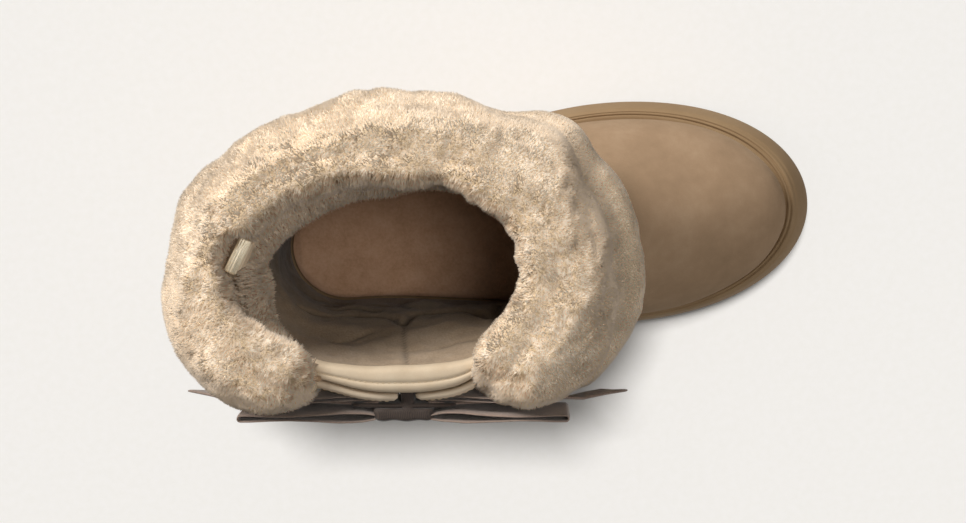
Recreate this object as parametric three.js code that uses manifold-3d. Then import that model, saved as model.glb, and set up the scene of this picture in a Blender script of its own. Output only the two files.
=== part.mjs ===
// A right ankle boot in sheepskin: a flared foam sole, a hollow suede and wool upper,
// a deep turned-down wool cuff with a gap on the outer side, and a ribbon bow in that gap.
// Millimetres. +X runs to the toe, +Y to the inner (big toe) side, +Z up.
// The origin is on the floor, under the middle of the heel's tread.
import * as THREE from "three";
import { mergeVertices } from "three/addons/utils/BufferGeometryUtils.js";
import Module from "manifold-3d";

const wasm = await Module();
wasm.setup();

// ---------- driving dimensions ----------
const heelBack = -38; // back of the upper where it meets the sole
const footLength = 246; // upper, heel to toe, along that same line
const heelWidth = 66;
const ballWidth = 95;
const collarLength = 139;
const collarHeight = 160;
const heelSole = 36; // sole thickness under the heel
const ballSole = 30; // and under the ball of the foot
const toeSpring = 9;
const wallFoot = 7; // suede and short wool together
const wallShaft = 6;
const insoleDepth = 5;
const gap = 0.3; // between pieces that are sewn or glued together
const around = 60; // points around each outline

const heelStation = 0;
const ballStation = 124;
const forefootSwing = 4.4; // the forefoot lies this far to the inner side
const shaftBack = -48.5;
const toeEnd = heelBack + footLength;
const shaftFront = shaftBack + collarLength;

// ---------- small helpers ----------
const mix = (a, b, t) => a + (b - a) * t;
const clamp01 = (t) => Math.min(1, Math.max(0, t));
const radians = (degrees) => (degrees * Math.PI) / 180;

function ease(from, to, x) {
  const t = clamp01((x - from) / (to - from));
  return t * t * (3 - 2 * t);
}

// A smooth curve through evenly spaced values, at t from 0 to 1.
function through(values, t) {
  const last = values.length - 1;
  const place = clamp01(t) * last;
  const i = Math.min(last - 1, Math.floor(place));
  const f = place - i;
  const [a, b] = [values[Math.max(0, i - 1)], values[i]];
  const [c, d] = [values[i + 1], values[Math.min(last, i + 2)]];
  const bend = 2 * a - 5 * b + 4 * c - d;
  const twist = 3 * b - 3 * c + d - a;
  return b + 0.5 * f * (c - a + f * (bend + f * twist));
}

// The same for a table of rows, given as objects with the columns' names.
function rowAt(rows, t) {
  const made = {};
  for (const name of Object.keys(rows[0]))
    made[name] = through(rows.map((row) => row[name]), t);
  return made;
}

function table(columns, rows) {
  return rows.map((row) => Object.fromEntries(columns.map((name, i) => [name, row[i]])));
}

// ---------- the lines of the last ----------
// Floor line of the tread: flat heel and forefoot, raised arch, toe spring.
function groundLine(x) {
  const arch = 2.5 * ease(38, 58, x) * (1 - ease(84, 104, x));
  const spring = toeSpring * clamp01((x - 128) / 102) ** 2;
  const heelLift = 3 * clamp01((-28 - x) / 20) ** 2;
  return arch + spring + heelLift;
}

// Where the upper meets the sole.
function featherLine(x) {
  return mix(heelSole, ballSole, ease(10, 110, x)) + 6 * clamp01((x - 120) / 95) ** 2;
}

// A plan outline at one angle: 0 is the back of the heel, a quarter turn the inner side.
function outline(section, angle) {
  const x = mix(section.back, section.front, (1 - Math.cos(angle)) / 2);
  const fromBack = clamp01((x - section.back) / section.backRound);
  const fromFront = clamp01((section.front - x) / section.frontRound);
  const half = mix(section.heel, section.ball, ease(heelStation, ballStation, x));
  const heelEnd = Math.sqrt(1 - (1 - fromBack) ** 2);
  const toeEndRound = Math.sqrt(Math.max(0, 1 - (1 - fromFront) ** section.power));
  const middle = forefootSwing * ease(20, 140, x) * section.swing + section.lean;
  return [x, middle + Math.sign(Math.sin(angle)) * half * heelEnd * toeEndRound];
}

// Sections of the upper from sole to collar.
// height: above the floor. set: how far the back stands behind heelBack.
// reach: share of the way from the toe to the shaft's front. heel, ball: share of the half widths.
const upperSections = table(
  ["height", "set", "reach", "heel", "ball", "backRound", "frontRound", "power", "swing", "lean"],
  [
    [30, 0.0, 0.0, 0.97, 0.99, 34, 84, 2.1, 1, 0],
    [37, 2.0, -0.025, 1.02, 1.02, 35, 84, 2.1, 1, 0],
    [45, 3.0, -0.025, 1.05, 1.02, 36, 84, 2.1, 1, 0],
    [53, 3.5, 0.01, 1.06, 0.99, 36, 84, 2.05, 1, 0],
    [60, 3.5, 0.068, 1.06, 0.95, 36, 84, 2.0, 1, 0],
    [66, 3.2, 0.142, 1.06, 0.91, 37, 84, 1.95, 0.95, 0],
    [72, 3.0, 0.235, 1.06, 0.87, 38, 83, 1.9, 0.9, 0],
    [78, 2.7, 0.335, 1.07, 0.84, 40, 81, 1.9, 0.8, 0],
    [85, 2.5, 0.452, 1.09, 0.82, 42, 79, 1.9, 0.7, -0.3],
    [92, 2.9, 0.56, 1.12, 0.82, 44, 77, 1.9, 0.6, -0.7],
    [100, 3.8, 0.67, 1.17, 0.84, 47, 75, 1.9, 0.5, -1.2],
    [109, 5.2, 0.775, 1.24, 0.88, 51, 73, 1.95, 0.4, -1.8],
    [120, 6.9, 0.872, 1.32, 0.93, 56, 71, 2.0, 0.3, -2.5],
    [133, 8.7, 0.94, 1.4, 0.975, 62, 69.5, 2.05, 0.2, -3.2],
    [147, 10.0, 0.98, 1.44, 1.0, 67, 69, 2.1, 0.1, -3.8],
    [160, 10.5, 1.0, 1.455, 1.01, 69.5, 69.5, 2.1, 0, -4],
  ],
);

function sectionAt(t) {
  const row = rowAt(upperSections, t);
  return {
    ...row,
    back: heelBack - row.set,
    front: mix(toeEnd, shaftFront, row.reach),
    heel: (row.heel * heelWidth) / 2,
    ball: (row.ball * ballWidth) / 2,
  };
}

// The share t, from 0 at the sole to 1 at the collar, at which the upper is this high.
function shareAt(height) {
  let [low, high] = [0, 1];
  for (let i = 0; i < 30; i++) {
    const middle = (low + high) / 2;
    if (rowAt(upperSections, middle).height < height) low = middle;
    else high = middle;
  }
  return (low + high) / 2;
}

function skin(t, angle) {
  const section = sectionAt(t);
  const [x, y] = outline(section, angle);
  const tilt = 1 - ease(34, 95, section.height);
  return new THREE.Vector3(x, y, section.height + (featherLine(x) - ballSole) * tilt);
}

// A point of the upper's outer face, moved out along its normal.
function upperPoint(t, angle, out = 0) {
  const step = 0.004;
  const here = skin(t, angle);
  const up = skin(Math.min(1, t + step), angle).sub(skin(Math.max(0, t - step), angle));
  const along = skin(t, angle + step).sub(skin(t, angle - step));
  return here.addScaledVector(up.cross(along).normalize(), out);
}

// ---------- meshes from rings ----------
const angles = [...Array(around).keys()].map((i) => (2 * Math.PI * i) / around);

// Joins rings of equal length into one closed mesh. A loop of rings closes on itself;
// otherwise each end is covered by strips between points i and count - i.
function loft(rings, isLoop = false) {
  const count = rings[0].length;
  const vertices = rings.flat();
  const faces = [];
  const spans = isLoop ? rings.length : rings.length - 1;
  const at = (ring, i) => (ring % rings.length) * count + (i % count);
  for (let r = 0; r < spans; r++)
    for (let i = 0; i < count; i++) {
      faces.push([at(r, i), at(r, i + 1), at(r + 1, i + 1)]);
      faces.push([at(r, i), at(r + 1, i + 1), at(r + 1, i)]);
    }
  if (!isLoop)
    for (const [ring, turned] of [[0, true], [rings.length - 1, false]])
      for (let i = 0; i < count / 2; i++) {
        const [a, b] = [at(ring, i), at(ring, i + 1)];
        const [c, d] = [at(ring, count - i - 1), at(ring, count - i)];
        for (const face of [[a, b, c], [a, c, d]])
          if (new Set(face).size === 3) faces.push(turned ? face.reverse() : face);
      }
  const geometry = new THREE.BufferGeometry().setFromPoints(vertices);
  geometry.setIndex(faces.flat());
  return facingOut(geometry);
}

function facingOut(geometry) {
  const index = geometry.index.array;
  const place = geometry.attributes.position;
  const [a, b, c] = [new THREE.Vector3(), new THREE.Vector3(), new THREE.Vector3()];
  let volume = 0;
  for (let i = 0; i < index.length; i += 3) {
    a.fromBufferAttribute(place, index[i]);
    b.fromBufferAttribute(place, index[i + 1]);
    c.fromBufferAttribute(place, index[i + 2]);
    volume += a.dot(b.cross(c));
  }
  if (volume < 0)
    for (let i = 0; i < index.length; i += 3)
      [index[i + 1], index[i + 2]] = [index[i + 2], index[i + 1]];
  return geometry;
}

function solid(geometry) {
  const bare = new THREE.BufferGeometry();
  bare.setAttribute("position", geometry.getAttribute("position"));
  if (geometry.index) bare.setIndex(geometry.index);
  const merged = mergeVertices(bare, 1e-3);
  const triVerts = new Uint32Array(merged.index.array);
  const vertProperties = merged.attributes.position.array;
  return new wasm.Manifold(new wasm.Mesh({ numProp: 3, vertProperties, triVerts }));
}

function geometryOf(made) {
  const mesh = made.getMesh();
  const geometry = new THREE.BufferGeometry();
  geometry.setAttribute("position", new THREE.BufferAttribute(mesh.vertProperties, 3));
  geometry.setIndex(new THREE.BufferAttribute(mesh.triVerts, 1));
  return geometry;
}

// ---------- sole ----------
// level: share of the way from floor to feather line. side, toe, heel: how far the edge
// stands out past the upper there.
const midsoleSections = table(
  ["level", "side", "toe", "heel"],
  [
    [0.2, 9.0, 18.0, 9.0],
    [0.36, 9.3, 18.5, 9.4],
    [0.52, 8.9, 17.2, 9.0],
    [0.66, 8.1, 14.8, 8.2],
    [0.8, 7.1, 12.0, 7.2],
    [0.9, 6.5, 10.2, 6.6],
    [0.97, 5.9, 8.8, 6.0],
    [1.0, 4.4, 6.6, 4.6],
  ],
);
const outsoleSections = table(
  ["level", "side", "toe", "heel"],
  [
    [0.0, 6.4, 14.0, 6.4],
    [0.06, 8.6, 17.2, 8.6],
    [0.18, 9.1, 18.0, 9.1],
  ],
);

function soleRing(row, lift) {
  const foot = sectionAt(0);
  const section = {
    ...foot,
    back: foot.back - row.heel,
    front: foot.front + row.toe,
    heel: foot.heel + row.side,
    ball: foot.ball + row.side,
    backRound: foot.backRound + row.heel,
    frontRound: foot.frontRound + row.toe,
    power: 2.3,
  };
  return angles.map((angle) => {
    const [x, y] = outline(section, angle);
    return new THREE.Vector3(x, y, mix(groundLine(x), featherLine(x), row.level) + lift);
  });
}

function midsole() {
  const rings = midsoleSections.map((row) => soleRing(row, row.level < 1 ? 0 : -gap));
  return loft(rings);
}

// The tread: rows of bars left by grooves across the outsole, with a rim all round.
function outsole() {
  const grooveWidth = 4;
  const grooveDepth = 2.4;
  const grooves = table(
    ["x", "length"],
    [
      [-30, 38], [-19, 48], [-8, 54], [8, 56], [19, 56], [30, 54],
      [108, 68], [119, 74], [130, 78], [141, 80], [152, 80], [163, 78], [174, 72], [185, 62],
      [196, 48],
    ],
  );
  let made = solid(loft(outsoleSections.map((row) => soleRing(row, -gap * (row.level > 0.1)))));
  for (const groove of grooves) {
    const bar = new THREE.BoxGeometry(grooveWidth, groove.length, 2 * grooveDepth);
    const middle = forefootSwing * ease(20, 140, groove.x);
    bar.translate(groove.x, middle, groundLine(groove.x));
    made = made.subtract(solid(bar));
  }
  return geometryOf(made);
}

// The insole fills the upper's floor inside its wall.
function insole() {
  const ring = (height) =>
    angles.map((angle) => {
      const [x, y] = outline(sectionAt(0), angle);
      return new THREE.Vector3(x, y, featherLine(x) + height);
    });
  return geometryOf(solid(loft([ring(gap), ring(insoleDepth)])).intersect(inside()));
}

// The room inside the upper's foot, a little smaller all round.
function inside() {
  const shares = [...Array(9).keys()].map((i) => (shareAt(58) * i) / 8);
  const rings = shares.map((t) => angles.map((a) => upperPoint(t, a, -wallFoot - gap)));
  const below = rings[0].map((point) => point.clone().setZ(featherLine(point.x) - 1));
  return solid(loft([below, ...rings]));
}

// ---------- upper ----------
const wallAt = (t) => mix(wallFoot, wallShaft, ease(90, 130, rowAt(upperSections, t).height));

// A shell between two offsets of the upper's outer face, from one height share to another.
function shell(outer, inner, from, to, rows) {
  const shares = [...Array(rows + 1).keys()].map((i) => mix(from, to, i / rows));
  const ring = (t, out) =>
    angles.map((angle) => {
      const point = upperPoint(t, angle, out(t, angle));
      return t === 0 ? point.setZ(featherLine(point.x)) : point;
    });
  const outside = shares.map((t) => ring(t, outer));
  const inside = shares.map((t) => ring(t, inner)).reverse();
  return loft([...outside, ...inside], true);
}

// The slit on the outer side that the gusset fills, seen from that side: wide at the
// collar, narrower and round at the bottom.
const slit = { middle: 28.5, topHalf: 40, bottomHalf: 30, bottom: 98, corner: 12, top: 175 };

function slitPrism(shrink) {
  const shape = new THREE.Shape();
  const [top, bottom] = [slit.topHalf - shrink, slit.bottomHalf - shrink];
  const floor = slit.bottom + shrink;
  shape.moveTo(-top, slit.top);
  shape.lineTo(-bottom, floor + slit.corner);
  shape.quadraticCurveTo(-bottom, floor, -bottom + slit.corner, floor);
  shape.lineTo(bottom - slit.corner, floor);
  shape.quadraticCurveTo(bottom, floor, bottom, floor + slit.corner);
  shape.lineTo(top, slit.top);
  const prism = new THREE.ExtrudeGeometry(shape, { depth: 60, bevelEnabled: false, curveSegments: 5 });
  prism.rotateX(Math.PI / 2);
  prism.translate(slit.middle, -25, 0);
  return solid(prism);
}

function upper() {
  const whole = shell(() => 0, (t) => -wallAt(t), 0, 1, 26);
  return geometryOf(solid(whole).subtract(slitPrism(0)));
}

// The padded panel in the slit. It bulges past the shaft, most towards the toe, where it
// runs straighter than the collar's line does. out is at even steps of x.
const gussetTop = 154;
const gussetBulge = { from: -12, to: 76, out: [0, 0.5, 1.8, 3.0, 3.9, 4.8, 5.6, 6.0, 4.6, 2.0, 0] };

function bulgeAt(t, angle) {
  const section = sectionAt(t);
  const [x] = outline(section, angle);
  const share = (x - gussetBulge.from) / (gussetBulge.to - gussetBulge.from);
  return Math.max(0, through(gussetBulge.out, share)) * ease(98, 138, section.height);
}

function gussetSolid(grow = 0) {
  const [from, to] = [shareAt(slit.bottom - 4), shareAt(gussetTop + grow)];
  const outer = (t, angle) => bulgeAt(t, angle) + grow;
  const band = shell(outer, (t) => -wallAt(t), from, to, 8);
  return solid(band).intersect(slitPrism(gap - grow));
}

// ---------- suede tabs over the gusset ----------
const tabs = {
  heel: { from: -15, to: 23.5 },
  toe: { from: 31, to: 73 },
};
const tabBottom = 124;
const tabTop = 152;
const tabDepth = 3.6;
const tabLift = 0.8; // inner face, outside the gusset's

function tabBlock(tab, grow) {
  const [width, height] = [tab.to - tab.from, tabTop - tabBottom];
  const block = new THREE.BoxGeometry(width + 2 * grow, 60, height + 2 * grow);
  block.translate((tab.from + tab.to) / 2, -55, (tabTop + tabBottom) / 2);
  return solid(block);
}

function tabSolid(tab, grow = 0) {
  const [from, to] = [shareAt(tabBottom - 6), shareAt(tabTop + 4)];
  const inner = (t, angle) => (grow ? -1 : bulgeAt(t, angle) + tabLift);
  const outer = (t, angle) => bulgeAt(t, angle) + tabLift + tabDepth + grow;
  const band = shell(outer, inner, from, to, 5);
  return solid(band).intersect(tabBlock(tab, grow));
}

// ---------- ribbon bow ----------
const bow = { x: 25.3, y: -66.5, z: 138, turn: radians(-4) };
const ribbonWidth = 32;
const ribbonDepth = 1.4;
const loopReach = 74;
const loopDepth = 5.6;
const knotWidth = 26;

// Outlines are drawn in plan, along the bow and out from the boot, and extruded upwards.
function ribbonPiece(shape, height, lift = 0) {
  const piece = new THREE.ExtrudeGeometry(shape, { depth: height, bevelEnabled: false, curveSegments: 8 });
  piece.translate(0, 0, lift - height / 2);
  piece.rotateZ(bow.turn);
  piece.translate(bow.x, bow.y, bow.z);
  return piece;
}

// A flattened loop: side is -1 towards the heel and 1 towards the toe.
function bowLoop(side) {
  const outline = (inset) => {
    const [half, root] = [loopDepth / 2 - inset, knotWidth / 2 + gap - inset / 2];
    const far = loopReach - loopDepth / 2;
    const thin = 1.8 - inset;
    const shape = new THREE.Shape();
    shape.moveTo(side * root, thin);
    shape.quadraticCurveTo(side * 34, half, side * far, half);
    for (const degrees of [60, 30, 0, -30, -60]) {
      const angle = radians(degrees);
      shape.lineTo(side * (far + half * Math.cos(angle)), half * Math.sin(angle));
    }
    shape.lineTo(side * far, -half);
    shape.quadraticCurveTo(side * 34, -half, side * root, -thin);
    return shape;
  };
  const whole = solid(ribbonPiece(outline(0), ribbonWidth));
  return geometryOf(whole.subtract(solid(ribbonPiece(outline(ribbonDepth), 2 * ribbonWidth))));
}

// The knot, with the neck that sews it to the gusset between the tabs.
function bowKnot() {
  const [half, depth] = [knotWidth / 2, 4.4];
  const neck = { from: -1.2, to: 4.1, reach: 10.2 };
  const shape = new THREE.Shape();
  shape.moveTo(-half + 2, -depth);
  shape.lineTo(half - 2, -depth);
  shape.quadraticCurveTo(half, -depth, half, -depth + 3);
  shape.lineTo(half, 3);
  shape.lineTo(neck.to, 3);
  shape.lineTo(neck.to, neck.reach);
  shape.lineTo(neck.from, neck.reach);
  shape.lineTo(neck.from, 3);
  shape.lineTo(-half, 3);
  shape.lineTo(-half, -depth + 3);
  shape.quadraticCurveTo(-half, -depth, -half + 2, -depth);
  return ribbonPiece(shape, ribbonWidth - 5);
}

// A tail slopes down and out behind its loop and ends in a slanted cut.
function bowTail(side) {
  const [reach, drop, half] = [99.5, 26, 13];
  const root = knotWidth / 2 + gap;
  const shape = new THREE.Shape();
  shape.moveTo(side * root, half - 3);
  shape.lineTo(side * reach, half - drop);
  shape.lineTo(side * (reach - 12), -half - drop);
  shape.lineTo(side * root, -half + 1);
  shape.closePath();
  const piece = new THREE.ExtrudeGeometry(shape, { depth: ribbonDepth, bevelEnabled: false });
  piece.rotateX(Math.PI / 2);
  piece.translate(0, loopDepth / 2 + 0.4 + ribbonDepth, 0);
  piece.rotateZ(bow.turn);
  piece.translate(bow.x, bow.y, bow.z);
  return piece;
}

// Room that the bow presses into the wool, which rolls on over it.
function bowRoom() {
  const [top, bottom, back] = [bow.z + 18, 92, loopDepth / 2 + ribbonDepth + 0.9];
  const room = new THREE.BoxGeometry(2 * (loopReach + 28), 20, top - bottom);
  room.translate(0, back - 10, (top + bottom) / 2 - bow.z);
  room.rotateZ(bow.turn);
  room.translate(bow.x, bow.y, bow.z);
  return solid(room);
}

// ---------- wool cuff ----------
// How far the two rolls of wool stand out from the collar's line, and how far the crest leans
// in over it, at even steps from the heel side of the gap, round the back, the inner side and
// the front, to the toe side of the gap.
const cuffStart = radians(-65);
const cuffEnd = radians(241);
const cuffRolls = table(
  ["upper", "lower", "inner"],
  [
    [19, 19, 11], [24, 24, 9], [28.5, 28, 5], [29, 28, 3], [26.5, 26, 3], [28.5, 28, 4],
    [29, 28.5, 5], [28, 27.5, 5], [32, 31, 5], [32.5, 31.5, 5], [32.5, 33, 5], [31.5, 41, 6],
    [30.5, 45.5, 7], [33, 49, 8], [38, 49, 8], [37, 45, 7], [32, 33, 8],
  ],
);

// One cut through the wool, going round it: out as a share of the roll's depth (or of the
// lean, where it is less than 0), and height.
// The turned top edge leans over the collar; a soft crease parts the upper and lower rolls.
const cuffSection = table(
  ["out", "height"],
  [
    [-1, 157], [-0.95, 164.5], [0.0, 170.5], [0.25, 173], [0.52, 171], [0.78, 164.5],
    [0.95, 155], [1.0, 146], [0.96, 138], [0.88, 131.5], [0.93, 126], [0.99, 118], [0.98, 109],
    [0.84, 100], [0.45, 95.5], [-1, 96],
  ],
);
const cuffCore = { out: 13, height: 134 }; // the ends round off towards this line

function cuffPoint(row, angle, rolls, swell) {
  const roll = mix(rolls.lower, rolls.upper, ease(127, 140, row.height));
  const reach = mix(cuffCore.out, row.out * (row.out < 0 ? rolls.inner : roll), swell);
  const collar = sectionAt(1);
  const [x, y] = outline(collar, angle);
  const [ax, ay] = outline(collar, angle - 0.01);
  const [bx, by] = outline(collar, angle + 0.01);
  const outward = new THREE.Vector2(ay - by, bx - ax).normalize().multiplyScalar(reach);
  return new THREE.Vector3(x + outward.x, y + outward.y, mix(cuffCore.height, row.height, swell));
}

function cuff() {
  const stations = 46;
  const endRound = 2.8; // stations over which each end rounds off
  const rings = [];
  for (let i = 0; i <= stations; i++) {
    const share = i / stations;
    const angle = mix(cuffStart, cuffEnd, share);
    const fromEnd = Math.min(1, (Math.min(i, stations - i) + 0.2) / endRound);
    const swell = Math.sqrt(1 - (1 - fromEnd) ** 2);
    const rolls = rowAt(cuffRolls, share);
    rings.push(cuffSection.map((row) => cuffPoint(row, angle, rolls, swell)));
  }
  let made = solid(loft(rings));
  made = made.subtract(solid(plug(gap, collarHeight + gap)));
  for (const tab of Object.values(tabs)) made = made.subtract(tabSolid(tab, gap));
  made = made.subtract(gussetSolid(gap)).subtract(bowRoom());
  return geometryOf(made.subtract(clipRoom()));
}

// The shaft as a filled form, to cut what fits round it.
function plug(out, top) {
  const [from, rows] = [shareAt(80), 14];
  const rings = [];
  for (let i = 0; i <= rows; i++) {
    const t = mix(from, 1, i / rows);
    rings.push(angles.map((angle) => upperPoint(t, angle, out)));
  }
  rings.push(rings.at(-1).map((point) => point.clone().setZ(top)));
  return loft(rings);
}

// ---------- heel tab with its metal clip ----------
const clip = { angle: radians(21), length: 16.5, radius: 2.8, flutes: 14, height: 163.1, inset: 6.2 };
const heelTab = { width: 13, depth: 1.6, drop: 16, inset: 8.6 };

function atCollarBack(geometry, inset, height) {
  const wall = upperPoint(1, clip.angle, -inset);
  const ahead = upperPoint(1, clip.angle + 0.05, -inset);
  const heading = Math.atan2(ahead.y - wall.y, ahead.x - wall.x);
  geometry.rotateZ(heading);
  geometry.translate(wall.x, wall.y, height);
  return geometry;
}

function metalClip() {
  const steps = clip.flutes * 4;
  const points = [];
  for (let i = 0; i < steps; i++) {
    const angle = (2 * Math.PI * i) / steps;
    const radius = clip.radius - 0.18 * (1 - Math.cos(clip.flutes * angle)) * 0.5;
    points.push(new THREE.Vector2(radius * Math.cos(angle), radius * Math.sin(angle)));
  }
  const bar = new THREE.ExtrudeGeometry(new THREE.Shape(points), { depth: clip.length, bevelEnabled: false });
  bar.translate(0, 0, -clip.length / 2);
  bar.rotateY(Math.PI / 2);
  return atCollarBack(bar, clip.inset, clip.height);
}

// Room for the clip in the wool's inner edge.
function clipRoom() {
  const [side, across] = [clip.length + 2, 2 * clip.radius + 12];
  const room = new THREE.BoxGeometry(side, across, 24);
  return solid(atCollarBack(room, clip.inset + across / 2 - clip.radius - 1, clip.height));
}

function heelTabStrap() {
  const strap = new THREE.BoxGeometry(heelTab.width, heelTab.depth, heelTab.drop);
  const top = clip.height - clip.radius - gap;
  return atCollarBack(strap, heelTab.inset, top - heelTab.drop / 2);
}

// ---------- assembly ----------
const finish = (color, roughness, metalness = 0) =>
  new THREE.MeshStandardMaterial({ color, roughness, metalness });
const suede = finish(0x9a8062, 0.95);
const wool = finish(0xd9c4a6, 1.0);
const foam = finish(0x8a6f50, 0.8);
const rubber = finish(0x7d6548, 0.85);
const footbed = finish(0x8d6c53, 0.9);
const ribbon = finish(0x6a5a50, 0.85);
const brass = finish(0xd8c49c, 0.35, 1);

const boot = new THREE.Group();
function add(name, geometry, material) {
  const mesh = new THREE.Mesh(geometry, material);
  mesh.name = name;
  boot.add(mesh);
}

add("outsole", outsole(), rubber);
add("midsole", midsole(), foam);
add("insole", insole(), footbed);
add("upper", upper(), suede);
add("gusset", geometryOf(gussetSolid()), suede);
add("cuff", cuff(), wool);
add("tab_heel", geometryOf(tabSolid(tabs.heel)), suede);
add("tab_toe", geometryOf(tabSolid(tabs.toe)), suede);
add("bow_loop_heel", bowLoop(-1), ribbon);
add("bow_loop_toe", bowLoop(1), ribbon);
add("bow_tail_heel", bowTail(-1), ribbon);
add("bow_tail_toe", bowTail(1), ribbon);
add("bow_knot", bowKnot(), ribbon);
add("heel_tab", heelTabStrap(), suede);
add("metal_clip", metalClip(), brass);

export default boot;
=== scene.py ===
# A right ankle boot in sheepskin: suede upper, deep wool cuff open on the outer side,
# a ribbon bow in the opening and a flared foam sole.
# Metres. +X runs to the toe, +Y to the inner side, +Z up, origin under the heel.
import math

import bmesh
import bpy
import numpy as np
from mathutils import Matrix, Vector, noise
from mathutils.kdtree import KDTree


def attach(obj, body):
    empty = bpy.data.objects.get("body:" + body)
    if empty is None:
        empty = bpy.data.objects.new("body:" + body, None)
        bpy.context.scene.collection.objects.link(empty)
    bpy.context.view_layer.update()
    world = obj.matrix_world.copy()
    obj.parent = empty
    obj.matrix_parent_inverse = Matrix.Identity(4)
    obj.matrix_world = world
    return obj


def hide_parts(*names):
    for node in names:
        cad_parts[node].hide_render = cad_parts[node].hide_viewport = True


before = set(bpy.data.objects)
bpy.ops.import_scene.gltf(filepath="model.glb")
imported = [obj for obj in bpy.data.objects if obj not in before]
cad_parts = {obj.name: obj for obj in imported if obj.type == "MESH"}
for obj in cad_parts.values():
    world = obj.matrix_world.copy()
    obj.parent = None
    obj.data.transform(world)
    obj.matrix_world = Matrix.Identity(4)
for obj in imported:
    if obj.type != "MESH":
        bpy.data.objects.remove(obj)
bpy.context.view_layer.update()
mm = 0.001


def linked(name, data):  # a new object in the scene
    thing = bpy.data.objects.new(name, data)
    bpy.context.scene.collection.objects.link(thing)
    return thing


camera = {"place": (91.5, 75, 900), "aim": (63.3, -7.6, 90), "roll": -4.4, "lens": 64.84}


def makeCamera():
    place, aim = Vector(camera["place"]) * mm, Vector(camera["aim"]) * mm
    ahead = (aim - place).normalized()
    right = ahead.cross(Vector((0, 1, 0))).normalized()
    up = right.cross(ahead)
    turn = math.radians(camera["roll"])
    across = right * math.cos(turn) + up * math.sin(turn)
    upward = up * math.cos(turn) - right * math.sin(turn)
    data = bpy.data.cameras.new("camera")
    data.lens = camera["lens"]
    data.sensor_width = 36
    data.clip_start = 0.05
    holder = linked("camera", data)
    axes = Matrix((across, upward, -ahead)).transposed().to_4x4()
    holder.matrix_world = Matrix.Translation(place) @ axes
    bpy.context.scene.camera = holder


makeCamera()
print("camera placed")

last = {
    "heelBack": -38, "footLength": 246, "heelWidth": 66, "ballWidth": 95,
    "shaftBack": -48.5, "collarLength": 139, "collarHeight": 160,
    "heelSole": 36, "ballSole": 30, "toeSpring": 9,
    "ballStation": 124, "forefootSwing": 4.4,
}
sectionNames = ["height", "set", "reach", "heel", "ball", "backRound", "frontRound", "power",
                "swing", "lean"]
sections = np.array([
    [30, 0.0, 0.0, 0.97, 0.99, 34, 84, 2.1, 1, 0],
    [37, 2.0, -0.025, 1.02, 1.02, 35, 84, 2.1, 1, 0],
    [45, 3.0, -0.025, 1.05, 1.02, 36, 84, 2.1, 1, 0],
    [53, 3.5, 0.01, 1.06, 0.99, 36, 84, 2.05, 1, 0],
    [60, 3.5, 0.068, 1.06, 0.95, 36, 84, 2.0, 1, 0],
    [66, 3.2, 0.142, 1.06, 0.91, 37, 84, 1.95, 0.95, 0],
    [72, 3.0, 0.235, 1.06, 0.87, 38, 83, 1.9, 0.9, 0],
    [78, 2.7, 0.335, 1.07, 0.84, 40, 81, 1.9, 0.8, 0],
    [85, 2.5, 0.452, 1.09, 0.82, 42, 79, 1.9, 0.7, -0.3],
    [92, 2.9, 0.56, 1.12, 0.82, 44, 77, 1.9, 0.6, -0.7],
    [100, 3.8, 0.67, 1.17, 0.84, 47, 75, 1.9, 0.5, -1.2],
    [109, 5.2, 0.775, 1.24, 0.88, 51, 73, 1.95, 0.4, -1.8],
    [120, 6.9, 0.872, 1.32, 0.93, 56, 71, 2.0, 0.3, -2.5],
    [133, 8.7, 0.94, 1.4, 0.975, 62, 69.5, 2.05, 0.2, -3.2],
    [147, 10.0, 0.98, 1.44, 1.0, 67, 69, 2.1, 0.1, -3.8],
    [160, 10.5, 1.0, 1.455, 1.01, 69.5, 69.5, 2.1, 0, -4],
])
toeEnd = last["heelBack"] + last["footLength"]
shaftFront = last["shaftBack"] + last["collarLength"]


def mix(a, b, t):
    return a + (b - a) * t


def ease(low, high, x):
    t = np.clip((np.asarray(x, float) - low) / (high - low), 0, 1)
    return t * t * (3 - 2 * t)


def through(rows, t):  # a smooth curve through evenly spaced rows
    rows = np.asarray(rows, float)
    end = len(rows) - 1
    place = np.clip(np.atleast_1d(np.asarray(t, float)), 0, 1) * end
    i = np.minimum(end - 1, np.floor(place).astype(int))
    f = (place - i)[:, None] if rows.ndim > 1 else place - i
    a, b, c, d = rows[np.maximum(0, i - 1)], rows[i], rows[i + 1], rows[np.minimum(end, i + 2)]
    return b + 0.5 * f * (c - a + f * (2 * a - 5 * b + 4 * c - d + f * (3 * b - 3 * c + d - a)))


shares = np.linspace(0, 1, 801)
shareHeights = through(sections, shares)[:, 0]


def shareAt(height):
    return np.interp(height, shareHeights, shares)


def sectionAt(t):
    row = dict(zip(sectionNames, through(sections, t).T))
    row["back"] = last["heelBack"] - row["set"]
    row["front"] = mix(toeEnd, shaftFront, row["reach"])
    row["heel"] = row["heel"] * last["heelWidth"] / 2
    row["ball"] = row["ball"] * last["ballWidth"] / 2
    return row


def outline(row, angle):
    x = mix(row["back"], row["front"], (1 - np.cos(angle)) / 2)
    fromBack = np.clip((x - row["back"]) / row["backRound"], 0, 1)
    fromFront = np.clip((row["front"] - x) / row["frontRound"], 0, 1)
    half = mix(row["heel"], row["ball"], ease(0, last["ballStation"], x))
    heelEnd = np.sqrt(1 - (1 - fromBack) ** 2)
    toeRound = np.sqrt(np.maximum(0, 1 - (1 - fromFront) ** row["power"]))
    middle = last["forefootSwing"] * ease(20, 140, x) * row["swing"] + row["lean"]
    return x, middle + np.sign(np.sin(angle)) * half * heelEnd * toeRound


def groundLine(x):
    arch = 2.5 * ease(38, 58, x) * (1 - ease(84, 104, x))
    spring = last["toeSpring"] * np.clip((x - 128) / 102, 0, 1) ** 2
    return arch + spring + 3 * np.clip((-28 - x) / 20, 0, 1) ** 2


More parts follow.
